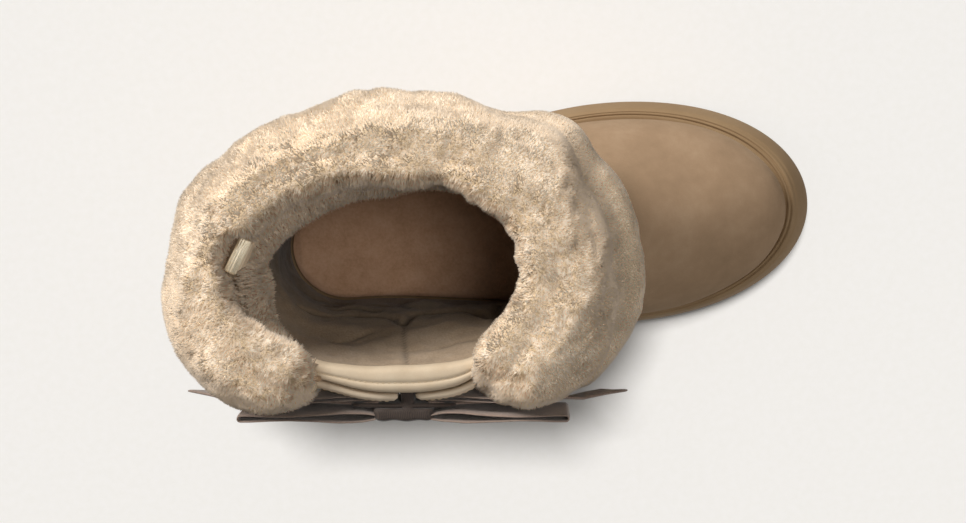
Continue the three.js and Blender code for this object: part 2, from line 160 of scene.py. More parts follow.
def featherLine(x):
    rise = 6 * np.clip((x - 120) / 95, 0, 1) ** 2
    return mix(last["heelSole"], last["ballSole"], ease(10, 110, x)) + rise


def skin(t, angle):
    row = sectionAt(t)
    x, y = outline(row, angle)
    tilt = 1 - ease(34, 95, row["height"])
    return np.stack([x, y, row["height"] + (featherLine(x) - last["ballSole"]) * tilt], -1)


def upperPoints(t, angle, out=0.0):  # points on the upper's outer face, moved out along its normal
    t, angle = np.broadcast_arrays(np.asarray(t, float), np.asarray(angle, float))
    shape, t, angle = t.shape, t.ravel(), angle.ravel()
    step = 0.004
    up = skin(np.minimum(1, t + step), angle) - skin(np.maximum(0, t - step), angle)
    along = skin(t, angle + step) - skin(t, angle - step)
    normal = np.cross(up, along)
    normal /= np.maximum(1e-9, np.linalg.norm(normal, axis=-1))[:, None]
    out = np.broadcast_to(np.asarray(out, float), shape).ravel()[:, None]
    return (skin(t, angle) + normal * out).reshape(*shape, 3)


def angleAt(x, t):  # round the outer side
    row = sectionAt(t)
    across = np.clip(1 - 2 * (x - row["back"]) / (row["front"] - row["back"]), -1, 1)
    return 2 * np.pi - np.arccos(across)


def shaftPoints(x, z, out):  # points by place along and height, on the shaft's outer side
    x, z, out = np.broadcast_arrays(*(np.asarray(v, float) for v in (x, z, out)))
    t = shareAt(z.ravel())
    points = upperPoints(t, angleAt(x.ravel(), t), out.ravel())
    return points.reshape(*x.shape, 3)


def linear(text):
    values = [int(text[i : i + 2], 16) / 255 for i in (1, 3, 5)]
    return tuple(v / 12.92 if v <= 0.04045 else ((v + 0.055) / 1.055) ** 2.4 for v in values) + (1,)


def meshObject(name, points, faces, material=None, smooth=True):
    mesh = bpy.data.meshes.new(name)
    faces = [list(map(int, face)) for face in faces]
    mesh.from_pydata((np.asarray(points, float) * mm).tolist(), [], faces)
    mesh.validate()
    mesh.shade_smooth() if smooth else mesh.shade_flat()
    thing = linked(name, mesh)
    if material:
        mesh.materials.append(material)
    outward(thing)
    return thing


def outward(thing):  # one closed shell: its faces point out
    work = bmesh.new()
    work.from_mesh(thing.data)
    if work.calc_volume(signed=True) < 0:
        bmesh.ops.reverse_faces(work, faces=work.faces[:])
    work.to_mesh(thing.data)
    work.free()


def loopFaces(rows, columns, closedRows=True, closedColumns=True):
    faces = []
    for r in range(rows if closedRows else rows - 1):
        for c in range(columns if closedColumns else columns - 1):
            a, b = r * columns + c, r * columns + (c + 1) % columns
            d, e = ((r + 1) % rows) * columns + c, ((r + 1) % rows) * columns + (c + 1) % columns
            faces.append((a, b, e, d))
    return faces


def ringShell(name, rings, material):  # rings that close round each way
    rows, columns = len(rings), len(rings[0])
    points = np.asarray(rings, float).reshape(-1, 3)
    return meshObject(name, points, loopFaces(rows, columns), material)


def cappedTube(name, rings, material):  # rings closed at both ends by a fan
    rows, columns = len(rings), len(rings[0])
    points = list(np.asarray(rings, float).reshape(-1, 3))
    faces = loopFaces(rows, columns, closedRows=False)
    for row, turned in ((0, True), (rows - 1, False)):
        points.append(np.asarray(rings[row]).mean(0))
        for c in range(columns):
            face = (row * columns + c, row * columns + (c + 1) % columns, len(points) - 1)
            faces.append(face[::-1] if turned else face)
    return meshObject(name, points, faces, material)


def slab(name, top, bottom, material):  # two grids of points joined round their edge
    rows, columns = top.shape[:2]
    count = rows * columns
    points = np.concatenate([top.reshape(-1, 3), bottom.reshape(-1, 3)])
    faces = loopFaces(rows, columns, False, False)
    faces += [tuple(i + count for i in face[::-1]) for face in faces]
    edge = list(range(columns)) + [r * columns + columns - 1 for r in range(1, rows)]
    edge += [(rows - 1) * columns + c for c in range(columns - 2, -1, -1)]
    edge += [r * columns for r in range(rows - 2, 0, -1)]
    for a, b in zip(edge, edge[1:] + edge[:1]):
        faces.append((b, a, a + count, b + count))
    return meshObject(name, points, faces, material)


def modified(thing):  # the object's mesh with its modifiers applied
    graph = bpy.context.evaluated_depsgraph_get()
    made = bpy.data.meshes.new_from_object(thing.evaluated_get(graph), depsgraph=graph)
    thing.modifiers.clear()
    thing.data = made
    return thing


def addModifier(thing, kind, **settings):
    made = thing.modifiers.new(kind.lower(), kind)
    for name, value in settings.items():
        setattr(made, name, value)
    return made


def place(thing, slotName, node):
    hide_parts(node)
    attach(thing, "root")


def giveUv(thing, uv):  # a place on the material for each point of the mesh
    layer = thing.data.uv_layers.new(name="UVMap")
    loops = np.zeros(len(thing.data.loops), int)
    thing.data.loops.foreach_get("vertex_index", loops)
    layer.data.foreach_set("uv", uv[loops].ravel())


def setValues(mesh, name, values):  # a number for each point of the mesh
    attribute = mesh.attributes.new(name, "FLOAT", "POINT")
    attribute.data.foreach_set("value", np.asarray(values, np.float32).ravel())


def turnedTo(points, heading, at):  # points turned about the vertical and set down at a place
    c, s = math.cos(heading), math.sin(heading)
    made = points.copy()
    made[..., 0] = at[0] + c * points[..., 0] - s * points[..., 1]
    made[..., 1] = at[1] + s * points[..., 0] + c * points[..., 1]
    made[..., 2] = at[2] + points[..., 2]
    return made


def newMaterial(name, surface):  # surface: values set on the shader's own sockets
    material = bpy.data.materials.new(name)
    material.use_nodes = True
    tree = material.node_tree
    shader = next(n for n in tree.nodes if n.type == "BSDF_PRINCIPLED")
    for socket, value in surface.items():
        shader.inputs[socket].default_value = value
    return material, tree, shader


def addNode(tree, kind, inputs=None, stops=(), **settings):  # an input takes a link or a value
    node = tree.nodes.new(kind)
    for name, value in settings.items():
        setattr(node, name, value)
    for socket, value in (inputs or {}).items():
        if isinstance(value, bpy.types.NodeSocket):
            tree.links.new(value, node.inputs[socket])
        else:
            node.inputs[socket].default_value = value
    if stops:
        elements = node.color_ramp.elements
        while len(elements) < len(stops):
            elements.new(0.5)
        for element, (place, colour) in zip(elements, stops):
            element.position = place
            element.color = linear(colour)
    return node


def perGrain(size):  # the pattern scale that gives a grain of this many mm
    return 1 / (size * mm)


# sheepskin suede, buffed: matt, faintly cloudy, with a fine nap that catches the light
def suedeMaterial(name, dark, middle, light):
    material, tree, shader = newMaterial(name, {
        "Roughness": 0.95, "Specular IOR Level": 0.12, "Sheen Weight": 0.18,
        "Sheen Roughness": 0.5, "Sheen Tint": linear("#d9c7ad")})
    vector = addNode(tree, "ShaderNodeTexCoord").outputs["Object"]
    clouds = addNode(tree, "ShaderNodeTexNoise", {
        "Vector": vector, "Scale": perGrain(24), "Detail": 4, "Roughness": 0.55})
    brushed = addNode(tree, "ShaderNodeTexNoise", {
        "Vector": vector, "Scale": perGrain(6), "Detail": 5, "Roughness": 0.6})
    nap = addNode(tree, "ShaderNodeTexNoise", {
        "Vector": vector, "Scale": perGrain(0.5), "Detail": 2, "Roughness": 0.7})
    both = addNode(tree, "ShaderNodeMix", {
        0: 0.3, 2: clouds.outputs["Fac"], 3: brushed.outputs["Fac"]})
    fine = addNode(tree, "ShaderNodeMix", {0: 0.22, 2: both.outputs[0], 3: nap.outputs["Fac"]})
    colours = addNode(tree, "ShaderNodeValToRGB", {"Fac": fine.outputs[0]},
                      [(0.3, dark), (0.5, middle), (0.7, light)])
    tree.links.new(colours.outputs["Color"], shader.inputs["Base Color"])
    coarse = addNode(tree, "ShaderNodeBump", {
        "Height": brushed.outputs["Fac"], "Strength": 0.4, "Distance": 0.2 * mm})
    raised = addNode(tree, "ShaderNodeBump", {
        "Height": nap.outputs["Fac"], "Normal": coarse.outputs["Normal"], "Strength": 0.7,
        "Distance": 0.1 * mm})
    tree.links.new(raised.outputs["Normal"], shader.inputs["Normal"])
    return material


suede = suedeMaterial("buffedSuede", "#9c8267", "#a88c70", "#b3987c")
tabSuede = suedeMaterial("tabSuede", "#d3c0a6", "#decbb2", "#e6d6bf")
gussetSuede = suedeMaterial("gussetSuede", "#c8b498", "#d2bfa5", "#dac9b0")


# moulded foam, light brown and matt, with a fine pebble from the mould
def foamMaterial(name, dark, light):
    material, tree, shader = newMaterial(name, {"Roughness": 0.72, "Specular IOR Level": 0.3})
    vector = addNode(tree, "ShaderNodeTexCoord").outputs["Object"]
    clouds = addNode(tree, "ShaderNodeTexNoise", {
        "Vector": vector, "Scale": perGrain(30), "Detail": 3, "Roughness": 0.55})
    pebble = addNode(tree, "ShaderNodeTexVoronoi", {"Vector": vector, "Scale": perGrain(0.7)})
    colours = addNode(tree, "ShaderNodeValToRGB", {"Fac": clouds.outputs["Fac"]},
                      [(0.35, dark), (0.65, light)])
    tree.links.new(colours.outputs["Color"], shader.inputs["Base Color"])
    raised = addNode(tree, "ShaderNodeBump", {
        "Height": pebble.outputs["Distance"], "Strength": 0.5, "Distance": 0.08 * mm})
    tree.links.new(raised.outputs["Normal"], shader.inputs["Normal"])
    return material


foam = foamMaterial("mouldedFoam", "#947959", "#9f8463")
treadRubber = foamMaterial("treadRubber", "#7f694c", "#8a7456")


# wool, washed and fluffed: cream, each lock a little different, darker at the root and paler
# at the tip; the darker roots are partly painted shade deep in the fleece. The fleece
# scatters light inside, so its locks are shaded mostly along the ground they grow from.
def woolMaterial(name, root, middle, tip):
    material, tree, shader = newMaterial(name, {
        "Roughness": 0.95, "Specular IOR Level": 0.05, "Sheen Weight": 0.15,
        "Sheen Roughness": 0.6})
    along, tone, ground, crest = (addNode(tree, "ShaderNodeAttribute", attribute_name=label)
                                  for label in ("along", "tone", "ground", "crest"))
    vector = addNode(tree, "ShaderNodeTexCoord").outputs["Object"]
    clouds = addNode(tree, "ShaderNodeTexNoise", {
        "Vector": vector, "Scale": perGrain(16), "Detail": 3, "Roughness": 0.55})
    shift = addNode(tree, "ShaderNodeMath", {0: tone.outputs["Fac"], 1: clouds.outputs["Fac"]},
                    operation="ADD")
    scaled = addNode(tree, "ShaderNodeMath", {0: shift.outputs[0], 1: 0.4, 2: -0.4},
                     operation="MULTIPLY_ADD")
    # brushed wool is paler; on the crest it curls, with painted shade in the gaps between the curls
    curls = addNode(tree, "ShaderNodeTexNoise", {
        "Vector": vector, "Scale": perGrain(2.8), "Detail": 1.5, "Roughness": 0.6})
    paintedGapShade = addNode(tree, "ShaderNodeMath", {0: curls.outputs["Fac"], 1: 2.4, 2: -1.65},
                   operation="MULTIPLY_ADD")
    paler = addNode(tree, "ShaderNodeMath", {
        0: crest.outputs["Fac"], 1: paintedGapShade.outputs[0], 2: 0.45}, operation="MULTIPLY_ADD")
    raised = addNode(tree, "ShaderNodeMath", {0: scaled.outputs[0], 1: paler.outputs[0]},
                     operation="ADD")
    total = addNode(tree, "ShaderNodeMath", {0: along.outputs["Fac"], 1: raised.outputs[0]},
                    operation="ADD", use_clamp=True)
    colours = addNode(tree, "ShaderNodeValToRGB", {"Fac": total.outputs[0]},
                      [(0.0, root), (0.4, middle), (0.9, tip)])
    tree.links.new(colours.outputs["Color"], shader.inputs["Base Color"])
    own = addNode(tree, "ShaderNodeNewGeometry")
    bent = addNode(tree, "ShaderNodeMix", {
        0: 0.85, 4: own.outputs["Normal"], 5: ground.outputs["Vector"]}, data_type="VECTOR")
    unit = addNode(tree, "ShaderNodeVectorMath", {0: bent.outputs[1]}, operation="NORMALIZE")
    tree.links.new(unit.outputs[0], shader.inputs["Normal"])
    # the side of a lock that faces away glows with the light that comes through it
    back = addNode(tree, "ShaderNodeVectorMath", {0: unit.outputs[0], "Scale": -1},
                   operation="SCALE")
    glow = addNode(tree, "ShaderNodeBsdfTranslucent",
                   {"Color": colours.outputs["Color"], "Normal": back.outputs[0]})
    fleece = addNode(tree, "ShaderNodeAddShader", {0: shader.outputs[0], 1: glow.outputs[0]})
    surface = next(n for n in tree.nodes if n.type == "OUTPUT_MATERIAL")
    tree.links.new(fleece.outputs[0], surface.inputs["Surface"])
    return material


cuffWool = woolMaterial("fluffedWool", "#a8957a", "#bba994", "#cfc2b1")


# short wool seen from above, where single fibres are too fine to model. Where "shade" is
# given, it is the share of light colour kept at each point: painted shade in the folds,
# low down, on the inner side and under the facing's edge.
def pileMaterial(name, dark, middle, light, tuft, depth, shaded=False):
    material, tree, shader = newMaterial(name, {
        "Roughness": 1.0, "Specular IOR Level": 0.05, "Sheen Weight": 0.15})
    vector = addNode(tree, "ShaderNodeTexCoord").outputs["Object"]
    clouds = addNode(tree, "ShaderNodeTexNoise", {
        "Vector": vector, "Scale": perGrain(14), "Detail": 4, "Roughness": 0.6})
    tufts = addNode(tree, "ShaderNodeTexNoise", {
        "Vector": vector, "Scale": perGrain(tuft), "Detail": 3, "Roughness": 0.7})
    mixed = addNode(tree, "ShaderNodeMix", {
        0: 0.45, 2: clouds.outputs["Fac"], 3: tufts.outputs["Fac"]})
    colours = addNode(tree, "ShaderNodeValToRGB", {"Fac": mixed.outputs[0]},
                      [(0.34, dark), (0.5, middle), (0.66, light)])
    colour = colours.outputs["Color"]
    if shaded:
        # painted shade carried on the mesh
        shade = addNode(tree, "ShaderNodeAttribute", attribute_name="shade")
        product = addNode(tree, "ShaderNodeMix", {0: 1.0, 6: colour, 7: shade.outputs["Color"]},
                          data_type="RGBA", blend_type="MULTIPLY")
        colour = product.outputs[2]
    tree.links.new(colour, shader.inputs["Base Color"])
    coarse = addNode(tree, "ShaderNodeBump", {
        "Height": clouds.outputs["Fac"], "Strength": 0.35, "Distance": 1.0 * mm})
    raised = addNode(tree, "ShaderNodeBump", {
        "Height": tufts.outputs["Fac"], "Normal": coarse.outputs["Normal"], "Strength": 0.7,
        "Distance": depth * mm})
    tree.links.new(raised.outputs["Normal"], shader.inputs["Normal"])
    return material


liningPile = pileMaterial("liningPile", "#9c8770", "#ad9880", "#bca790", 1.1, 0.5, shaded=True)
footbedPile = pileMaterial("footbedPile", "#bc9474", "#cda384", "#d9b192", 1.4, 0.3)
woolCore = pileMaterial("woolCore", "#c4ae8e", "#d0bd9f", "#dbcab0", 1.2, 0.5)


# woven ribbon, mauve brown, ribbed across with a slight silk sheen
def ribbonMaterial(name, dark, middle, light):
    material, tree, shader = newMaterial(name, {"Roughness": 0.7, "Sheen Weight": 0.3})
    uv = addNode(tree, "ShaderNodeUVMap")
    split = addNode(tree, "ShaderNodeSeparateXYZ", {0: uv.outputs["UV"]})
    threads = []
    for axis, pitch in (("X", 0.55), ("Y", 0.8)):  # warp and weft pitch, mm
        turned = addNode(tree, "ShaderNodeMath", {
            0: split.outputs[axis], 1: 2 * math.pi * perGrain(pitch)}, operation="MULTIPLY")
        wave = addNode(tree, "ShaderNodeMath", {0: turned.outputs[0]}, operation="SINE")
        threads.append(wave.outputs[0])
    weave = addNode(tree, "ShaderNodeMath", {0: threads[0], 1: threads[1]}, operation="MULTIPLY")
    fuzz = addNode(tree, "ShaderNodeTexNoise", {
        "Vector": addNode(tree, "ShaderNodeTexCoord").outputs["Object"],
        "Scale": perGrain(0.9), "Detail": 3, "Roughness": 0.7})
    shade = addNode(tree, "ShaderNodeMath", {
        0: weave.outputs[0], 1: fuzz.outputs["Fac"], 2: fuzz.outputs["Fac"]},
        operation="MULTIPLY_ADD")
    colours = addNode(tree, "ShaderNodeValToRGB", {"Fac": shade.outputs[0]},
                      [(0.3, dark), (0.5, middle), (0.7, light)])
    tree.links.new(colours.outputs["Color"], shader.inputs["Base Color"])
    raised = addNode(tree, "ShaderNodeBump", {
        "Height": weave.outputs[0], "Strength": 0.4, "Distance": 0.05 * mm})
    tree.links.new(raised.outputs["Normal"], shader.inputs["Normal"])
    return material


ribbon = ribbonMaterial("wovenRibbon", "#6f5d53", "#8b776b", "#a39083")
# the knot and the pieces behind it: the same ribbon painted much darker, painted shade where the
# knot sits in shadow
knotRibbonPaintedShade = ribbonMaterial("knotRibbonPaintedShade", "#2b1f19", "#392c24", "#483a31")


# plated brass, brushed, pale champagne
def plateMaterial():
    material, tree, shader = newMaterial("platedBrass", {"Metallic": 0.75, "Roughness": 0.38})
    marks = addNode(tree, "ShaderNodeTexNoise", {
        "Vector": addNode(tree, "ShaderNodeTexCoord").outputs["Object"],
        "Scale": perGrain(0.6), "Detail": 3, "Roughness": 0.55})
    colours = addNode(tree, "ShaderNodeValToRGB", {"Fac": marks.outputs["Fac"]},
                      [(0.3, "#ecdcbc"), (0.7, "#fff6e2")])
    tree.links.new(colours.outputs["Color"], shader.inputs["Base Color"])
    raised = addNode(tree, "ShaderNodeBump", {
        "Height": marks.outputs["Fac"], "Strength": 0.4, "Distance": 0.03 * mm})
    tree.links.new(raised.outputs["Normal"], shader.inputs["Normal"])
    return material


plate = plateMaterial()


# waxed polyester sewing thread, a shade lighter than the suede
def threadMaterial():
    material, tree, shader = newMaterial("sewingThread", {"Roughness": 0.6})
    strands = addNode(tree, "ShaderNodeTexNoise", {
        "Vector": addNode(tree, "ShaderNodeTexCoord").outputs["Object"],
        "Scale": perGrain(0.4), "Detail": 2, "Roughness": 0.55})
    colours = addNode(tree, "ShaderNodeValToRGB", {"Fac": strands.outputs["Fac"]},
                      [(0.35, "#c2ab88"), (0.65, "#dcc8a8")])
    tree.links.new(colours.outputs["Color"], shader.inputs["Base Color"])
    return material


thread = threadMaterial()
print("materials made")

sole = {
    "columns": 220,
    "edge": {"side": 9.3, "toe": 18.5, "heel": 9.4},  # how far the sole stands out, mm
    "rimScale": {"side": 0.6, "toe": 1.05, "heel": 0.6},
    "slopeStart": 10.3,
    # mm out from the upper, share of the slope below that, share of the height, mm up
    "profile": [
        (-9, 0, 1.0, -0.5), (-0.6, 0, 1.0, -0.5), (1.6, 0, 1.0, -0.4), (3.0, 0, 1.0, -0.1),
        (4.2, 0, 1.0, 0.0), (4.7, 0, 1.0, -0.35), (5.1, 0, 1.0, -0.95), (5.5, 0, 1.0, -0.9),
        (5.8, 0, 1.0, -0.15), (6.2, 0, 1.0, 0.15), (6.7, 0, 1.0, 0.1), (7.0, 0, 1.0, -0.25),
        (7.3, 0, 1.0, -0.75), (7.7, 0, 1.0, -0.7), (8.0, 0, 1.0, -0.2), (8.6, 0, 0.99, 0.0),
        (9.3, 0, 0.975, -0.05), (9.7, 0, 0.965, -0.35), (10.0, 0, 0.955, -0.6),
        (10.3, 0.05, 0.935, -0.3), (10.3, 0.14, 0.9, 0), (10.3, 0.32, 0.83, 0),
        (10.3, 0.52, 0.74, 0), (10.3, 0.72, 0.64, 0), (10.3, 0.88, 0.54, 0),
        (10.3, 0.97, 0.45, 0), (10.3, 1.0, 0.37, 0), (10.3, 0.98, 0.28, 0),
        (10.3, 0.93, 0.21, 0.2), (5.0, 0, 0.2, 0.3), (-9, 0, 0.2, 0.3),
    ],
}


def soleRing(rim, flare, level, lift, angles):
    foot = {name: value[0] for name, value in sectionAt(0.0).items()}
    out = {}
    for end in ("side", "toe", "heel"):
        scale = sole["rimScale"][end]
        out[end] = rim * scale + flare * (sole["edge"][end] - sole["slopeStart"] * scale)
    row = dict(foot)
    row["back"] = foot["back"] - out["heel"]
    row["front"] = foot["front"] + out["toe"]
    row["heel"] = foot["heel"] + out["side"]
    row["ball"] = foot["ball"] + out["side"]
    row["backRound"] = foot["backRound"] + out["heel"]
    row["frontRound"] = foot["frontRound"] + out["toe"]
    row["power"] = mix(2.1, 2.3, max(0, min(1, rim / 10)))
    x, y = outline(row, angles)
    z = mix(groundLine(x), featherLine(x), level) + lift * mix(0.35, 1, ease(150, 200, x))
    return np.stack([x, y, z], -1)


def makeSole():
    angles = np.linspace(0, 2 * np.pi, sole["columns"], endpoint=False)
    rings = [soleRing(*row, angles) for row in sole["profile"]]
    body = ringShell("midsole", rings, foam)
    place(body, "sole_foam", "midsole")
    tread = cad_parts["outsole"]
    tread.data.materials.clear()
    tread.data.materials.append(treadRubber)


makeSole()
print("sole made")

upper = {"rows": 80, "columns": 220, "suedeDepth": 1.7, "softness": 0.55}


def soften(points, amount, size, seed=0.0):  # slow hand-made unevenness, mm
    spots = points.reshape(-1, 3)
    moves = np.array([noise.noise(Vector(p) / size + Vector((seed, 0, 0))) for p in spots])
    return moves.reshape(points.shape[:-1]) * amount


def makeUpper():
    t = np.linspace(0, 1, upper["rows"])[:, None]
    angles = np.linspace(0, 2 * np.pi, upper["columns"], endpoint=False)[None, :]
    base = upperPoints(t, angles)
    bumps = soften(base, upper["softness"], 26) * ease(0, 0.12, t)
    outer = upperPoints(t, angles, bumps)
    few = np.unique(np.linspace(0, upper["rows"] - 1, 16).astype(int))
    inner = upperPoints(t[few], angles, bumps[few] - upper["suedeDepth"])
    for face in (outer, inner):
        face[0, :, 2] = featherLine(face[0, :, 0]) + 0.1
    made = ringShell("upperSuede", np.concatenate([outer, inner[::-1]]), suede)
    cutter = slitPrism(0)
    addModifier(made, "BOOLEAN", operation="DIFFERENCE", object=cutter, solver="EXACT")
    modified(made)
    bpy.data.objects.remove(cutter)
    place(made, "suede", "upper")


slit = {"middle": 28.5, "topHalf": 40, "bottomHalf": 30, "bottom": 98, "corner": 12, "top": 175}


def slitPrism(shrink):  # a block through the shaft's outer side, with the slit's outline
    top, low = slit["topHalf"] - shrink, slit["bottomHalf"] - shrink
    floor, corner = slit["bottom"] + shrink, slit["corner"]
    line = [(-top, slit["top"]), (-low, floor + corner)]
    for step in range(1, 9):
        f = step / 8
        line.append((-low + corner * f * f, floor + corner * (1 - f) ** 2))
    line += [(-x, z) for x, z in line[::-1]]
    near = [(slit["middle"] + x, -25, z) for x, z in line]
    far = [(slit["middle"] + x, -85, z) for x, z in line]
    count = len(line)
    faces = [list(range(count)), list(range(2 * count - 1, count - 1, -1))]
    faces += [(i + count, (i + 1) % count + count, (i + 1) % count, i) for i in range(count)]
    return meshObject("slitCutter", near + far, faces, smooth=False)


makeUpper()
print("upper made")

# The padded panel in the slit bulges past the shaft: out at even steps of x, as in the part.
gussetBulge = {"from": -12, "to": 76, "out": [0, 0.5, 1.8, 3.0, 3.9, 4.8, 5.6, 6.0, 4.6, 2.0, 0]}


def bulgeAt(x, height):
    x, height = np.broadcast_arrays(np.asarray(x, float), np.asarray(height, float))
    share = (x.ravel() - gussetBulge["from"]) / (gussetBulge["to"] - gussetBulge["from"])
    out = np.maximum(0, through(gussetBulge["out"], share)).reshape(x.shape)
    return out * ease(98, 138, height)


# The panel's inner face, which the lining follows at the slit: mm inside the shaft's face.
gussetInside = [(-20, 6.2), (-8, 6.4), (0, 6.9), (25, 6.6), (42, 4.6), (56, 2.0), (62, 1.6),
                (70, 3.0), (78, 6.0)]

lining = {
    "rows": 120, "columns": 330, "from": 36, "to": 158.5, "gapDip": 6.5, "wrinkle": 1.0,
    "footDepth": 7, "shaftDepth": 6,
    # the fleece facing's lower edge: degrees round, height of the edge, mm it stands in
    "facing": [
        (-75, 160, 0), (-55, 152, 1.0), (-37, 136, 3.0), (-28, 131, 3.6), (-18, 119, 4.0),
        (-11, 111, 4.0), (-1, 112, 3.6), (5, 117, 3.2), (11, 118, 4.2), (25, 119, 6.8),
        (41, 119, 8.6), (52, 118, 8.4), (68, 117, 7.2), (82, 116, 5.4), (100, 118, 3.2),
        (125, 130, 1.6), (150, 150, 0),
    ],
    # folds: degrees round and height along each, mm deep (in, where negative), mm wide, and the
    # share of colour kept there (below 1 is painted shade in the fold)
    "folds": [
        ([(328, 95), (318, 91), (307, 84), (298, 85), (291, 90), (285, 97)], 2.6, 2.0, 0.45),
        ([(285, 96), (286, 88), (283, 84), (275, 85), (266, 91), (256, 99)], 2.6, 2.2, 0.45),
        ([(284, 97), (279, 108), (273, 120), (268, 134), (264, 150), (263, 158)], 1.0, 1.0, 0.5),
        ([(322, 66), (312, 60), (300, 66), (292, 76)], 2.0, 2.0, 0.55),
        ([(318, 78), (308, 74), (300, 78)], 1.6, 1.6, 0.6),
        ([(281, 66), (271, 62), (260, 70), (250, 80)], 2.0, 2.4, 0.6),
        ([(334, 58), (326, 50), (315, 48)], 1.6, 1.8, 0.6),
        ([(302, 118), (296, 110), (291, 104)], 0.9, 1.6, 0.8),
        ([(260, 128), (252, 122), (244, 124)], 0.9, 1.8, 0.8),
        ([(204, 154), (222, 140), (240, 118), (256, 96), (266, 80)], 2.2, 1.8, 0.5),
        ([(310, 70)], -2.4, 7.0, 1.0),
        ([(294, 72), (288, 66)], -2.4, 6.0, 1.0),
        ([(340, 48)], -2.2, 6.0, 1.0),
        ([(302, 100), (310, 104)], -1.4, 7.0, 1.0),
        ([(272, 100), (262, 106)], -1.6, 8.0, 1.0),
        ([(300, 128), (290, 134)], -1.2, 11.0, 1.0),
        ([(258, 136), (250, 130)], -1.2, 11.0, 1.0),
        ([(198, 150), (216, 134), (236, 110)], -3.4, 4.5, 1.0),
    ],
}


def fromLine(points, corners):  # mm from each point to a line through the corners
    corners = np.asarray(corners, float).reshape(-1, 3)
    if len(corners) == 1:
        return np.linalg.norm(points - corners[0], axis=-1)
    best = np.full(points.shape[:-1], 1e9)
    for a, b in zip(corners[:-1], corners[1:]):
        span = b - a
        share = np.clip(((points - a) @ span) / (span @ span), 0, 1)
        best = np.minimum(best, np.linalg.norm(points - a - share[..., None] * span, axis=-1))
    return best


def liningDepth(x, angles, heights):  # mm from the upper's face to the lining's
    depth = mix(lining["footDepth"], lining["shaftDepth"], ease(90, 130, heights))
    atSlit = np.interp(x, *zip(*gussetInside)) + 0 * heights
    inSlit = ((np.sin(angles) < 0) & (x > -20) & (x < 78)) + 0.0
    return mix(depth, atSlit, inSlit * ease(108, 148, heights))


def facingEdge(angles, points):  # height of the facing's lower edge, and mm it stands in
    degrees = (np.degrees(angles) + 90) % 360 - 90
    around, heights, stands = np.array(lining["facing"], float).T
    edge = np.interp(degrees, around, heights) + 2.0 * soften(points, 1, 9, 4)
    return edge, np.interp(degrees, around, stands)


def paintedLiningShade(angle, heights, down, stand):  # painted shade: darker low down, on the inner side and just under the facing's edge; a little lighter on the standing facing
    shade = 0.92 + 0.08 * ease(1.2, 0.9, down) * ease(0.5, 2, stand)
    shade = shade * mix(0.5, 1, ease(60, 132, heights))
    shade = shade * mix(0.5, 1, ease(0.2, -0.5, np.sin(angle)))
    return shade * (1 - 0.45 * np.exp(-(((down - 1.1) / 0.06) ** 2)) * ease(0.5, 2.5, stand))


def liningFolds(base, shade):  # mm that the folds stand in, and painted shade in the folds
    fold = soften(base * np.array([1, 1, 1.6]), lining["wrinkle"], 15)
    fold += soften(base, 0.45, 5, 7)
    for corners, deep, width, tone in lining["folds"]:
        spots = [upperPoints(float(shareAt(z)), math.radians(a), -lining["footDepth"])
                 for a, z in corners]
        near = np.exp(-((fromLine(base, spots) / width) ** 2))
        fold -= deep * near
        # painted shade along the fold
        shade = shade * (1 - (1 - tone) * near**2)
    return fold, shade


def facingGround(inner, down, stand):  # the mesh that the facing's fleece grows from
    hanging = (down < 0.99) & (stand > 0.8)
    first = int(np.argmax(hanging.any(axis=1)))
    faces = loopFaces(lining["rows"] - first, lining["columns"], closedRows=False)
    ground = meshObject("facing", inner[first:].reshape(-1, 3), faces)
    face = ground.data.polygons[len(ground.data.polygons) // 2]
    if (Vector((0.02, -0.004)) - face.center.xy).dot(face.normal.xy) < 0:  # faces the opening
        ground.data.flip_normals()
    near = ease(1.0, 0.9, down[first:]) * ease(0.8, 2.5, stand)
    setValues(ground.data, "cover", hanging[first:])
    setValues(ground.data, "turn", np.full_like(near, 0.5))
    # the facing's fleece curls like the crest, with the same painted shade between the curls
    setValues(ground.data, "crest", np.full_like(near, 0.7))
    setValues(ground.data, "pile", 0.55 + 0.35 * near)
    return ground


def makeLining():
    angles = np.linspace(0, 2 * np.pi, lining["columns"], endpoint=False)
    x = outline(sectionAt(1.0), angles)[0]
    dip = ease(-16, -8, x) * (1 - ease(65, 73, x)) * (np.sin(angles) < 0)
    top = lining["to"] - lining["gapDip"] * dip
    s = np.linspace(0, 1, lining["rows"])[:, None]
    t = mix(shareAt(lining["from"]), shareAt(top)[None, :], s)
    angle = np.broadcast_to(angles[None, :], t.shape)
    heights = np.interp(t, shares, shareHeights)
    base = upperPoints(t, angle, -lining["footDepth"])
    depth = liningDepth(base[..., 0], angle, heights)
    # the fleece facing round the back and the inner side hangs free of the wall
    edge, stand = facingEdge(angles, base[lining["rows"] // 2])
    collar = last["collarHeight"]
    down = (collar - heights) / np.maximum(4, collar - edge)  # 1 at the facing's edge
    facing = stand * ease(0, 0.8, down) * (1 - 0.85 * ease(1.0, 1.14, down))
    fold, shade = liningFolds(base, paintedLiningShade(angle, heights, down, stand))
    fade = ease(0, 0.05, s) * (1 - ease(0.95, 1, s))
    inner = upperPoints(t, angle, -depth - (fold + facing) * fade)
    few = np.linspace(0, lining["rows"] - 1, 8).astype(int)
    outer = upperPoints(t[few], angle[few], -upper["suedeDepth"] - 0.2)
    close = upperPoints(t[few], angle[few], -depth[few] + 0.9)  # where the lining runs thin
    outer = np.where((depth[few] < upper["suedeDepth"] + 1.5)[..., None], close, outer)
    made = ringShell("woolLining", np.concatenate([inner, outer[::-1]]), liningPile)
    # the painted shade on the lining's inner face; the outer face keeps its full colour
    setValues(made.data, "shade", np.concatenate([shade.ravel(), np.ones(outer[..., 0].size)]))
    place(made, "suede", "upper")
    return facingGround(inner, down, stand)


footbed = {"along": 90, "across": 26, "from": 35, "gap": 0.6, "thick": 5.2, "under": 0.4,
           "rounding": 1.6}


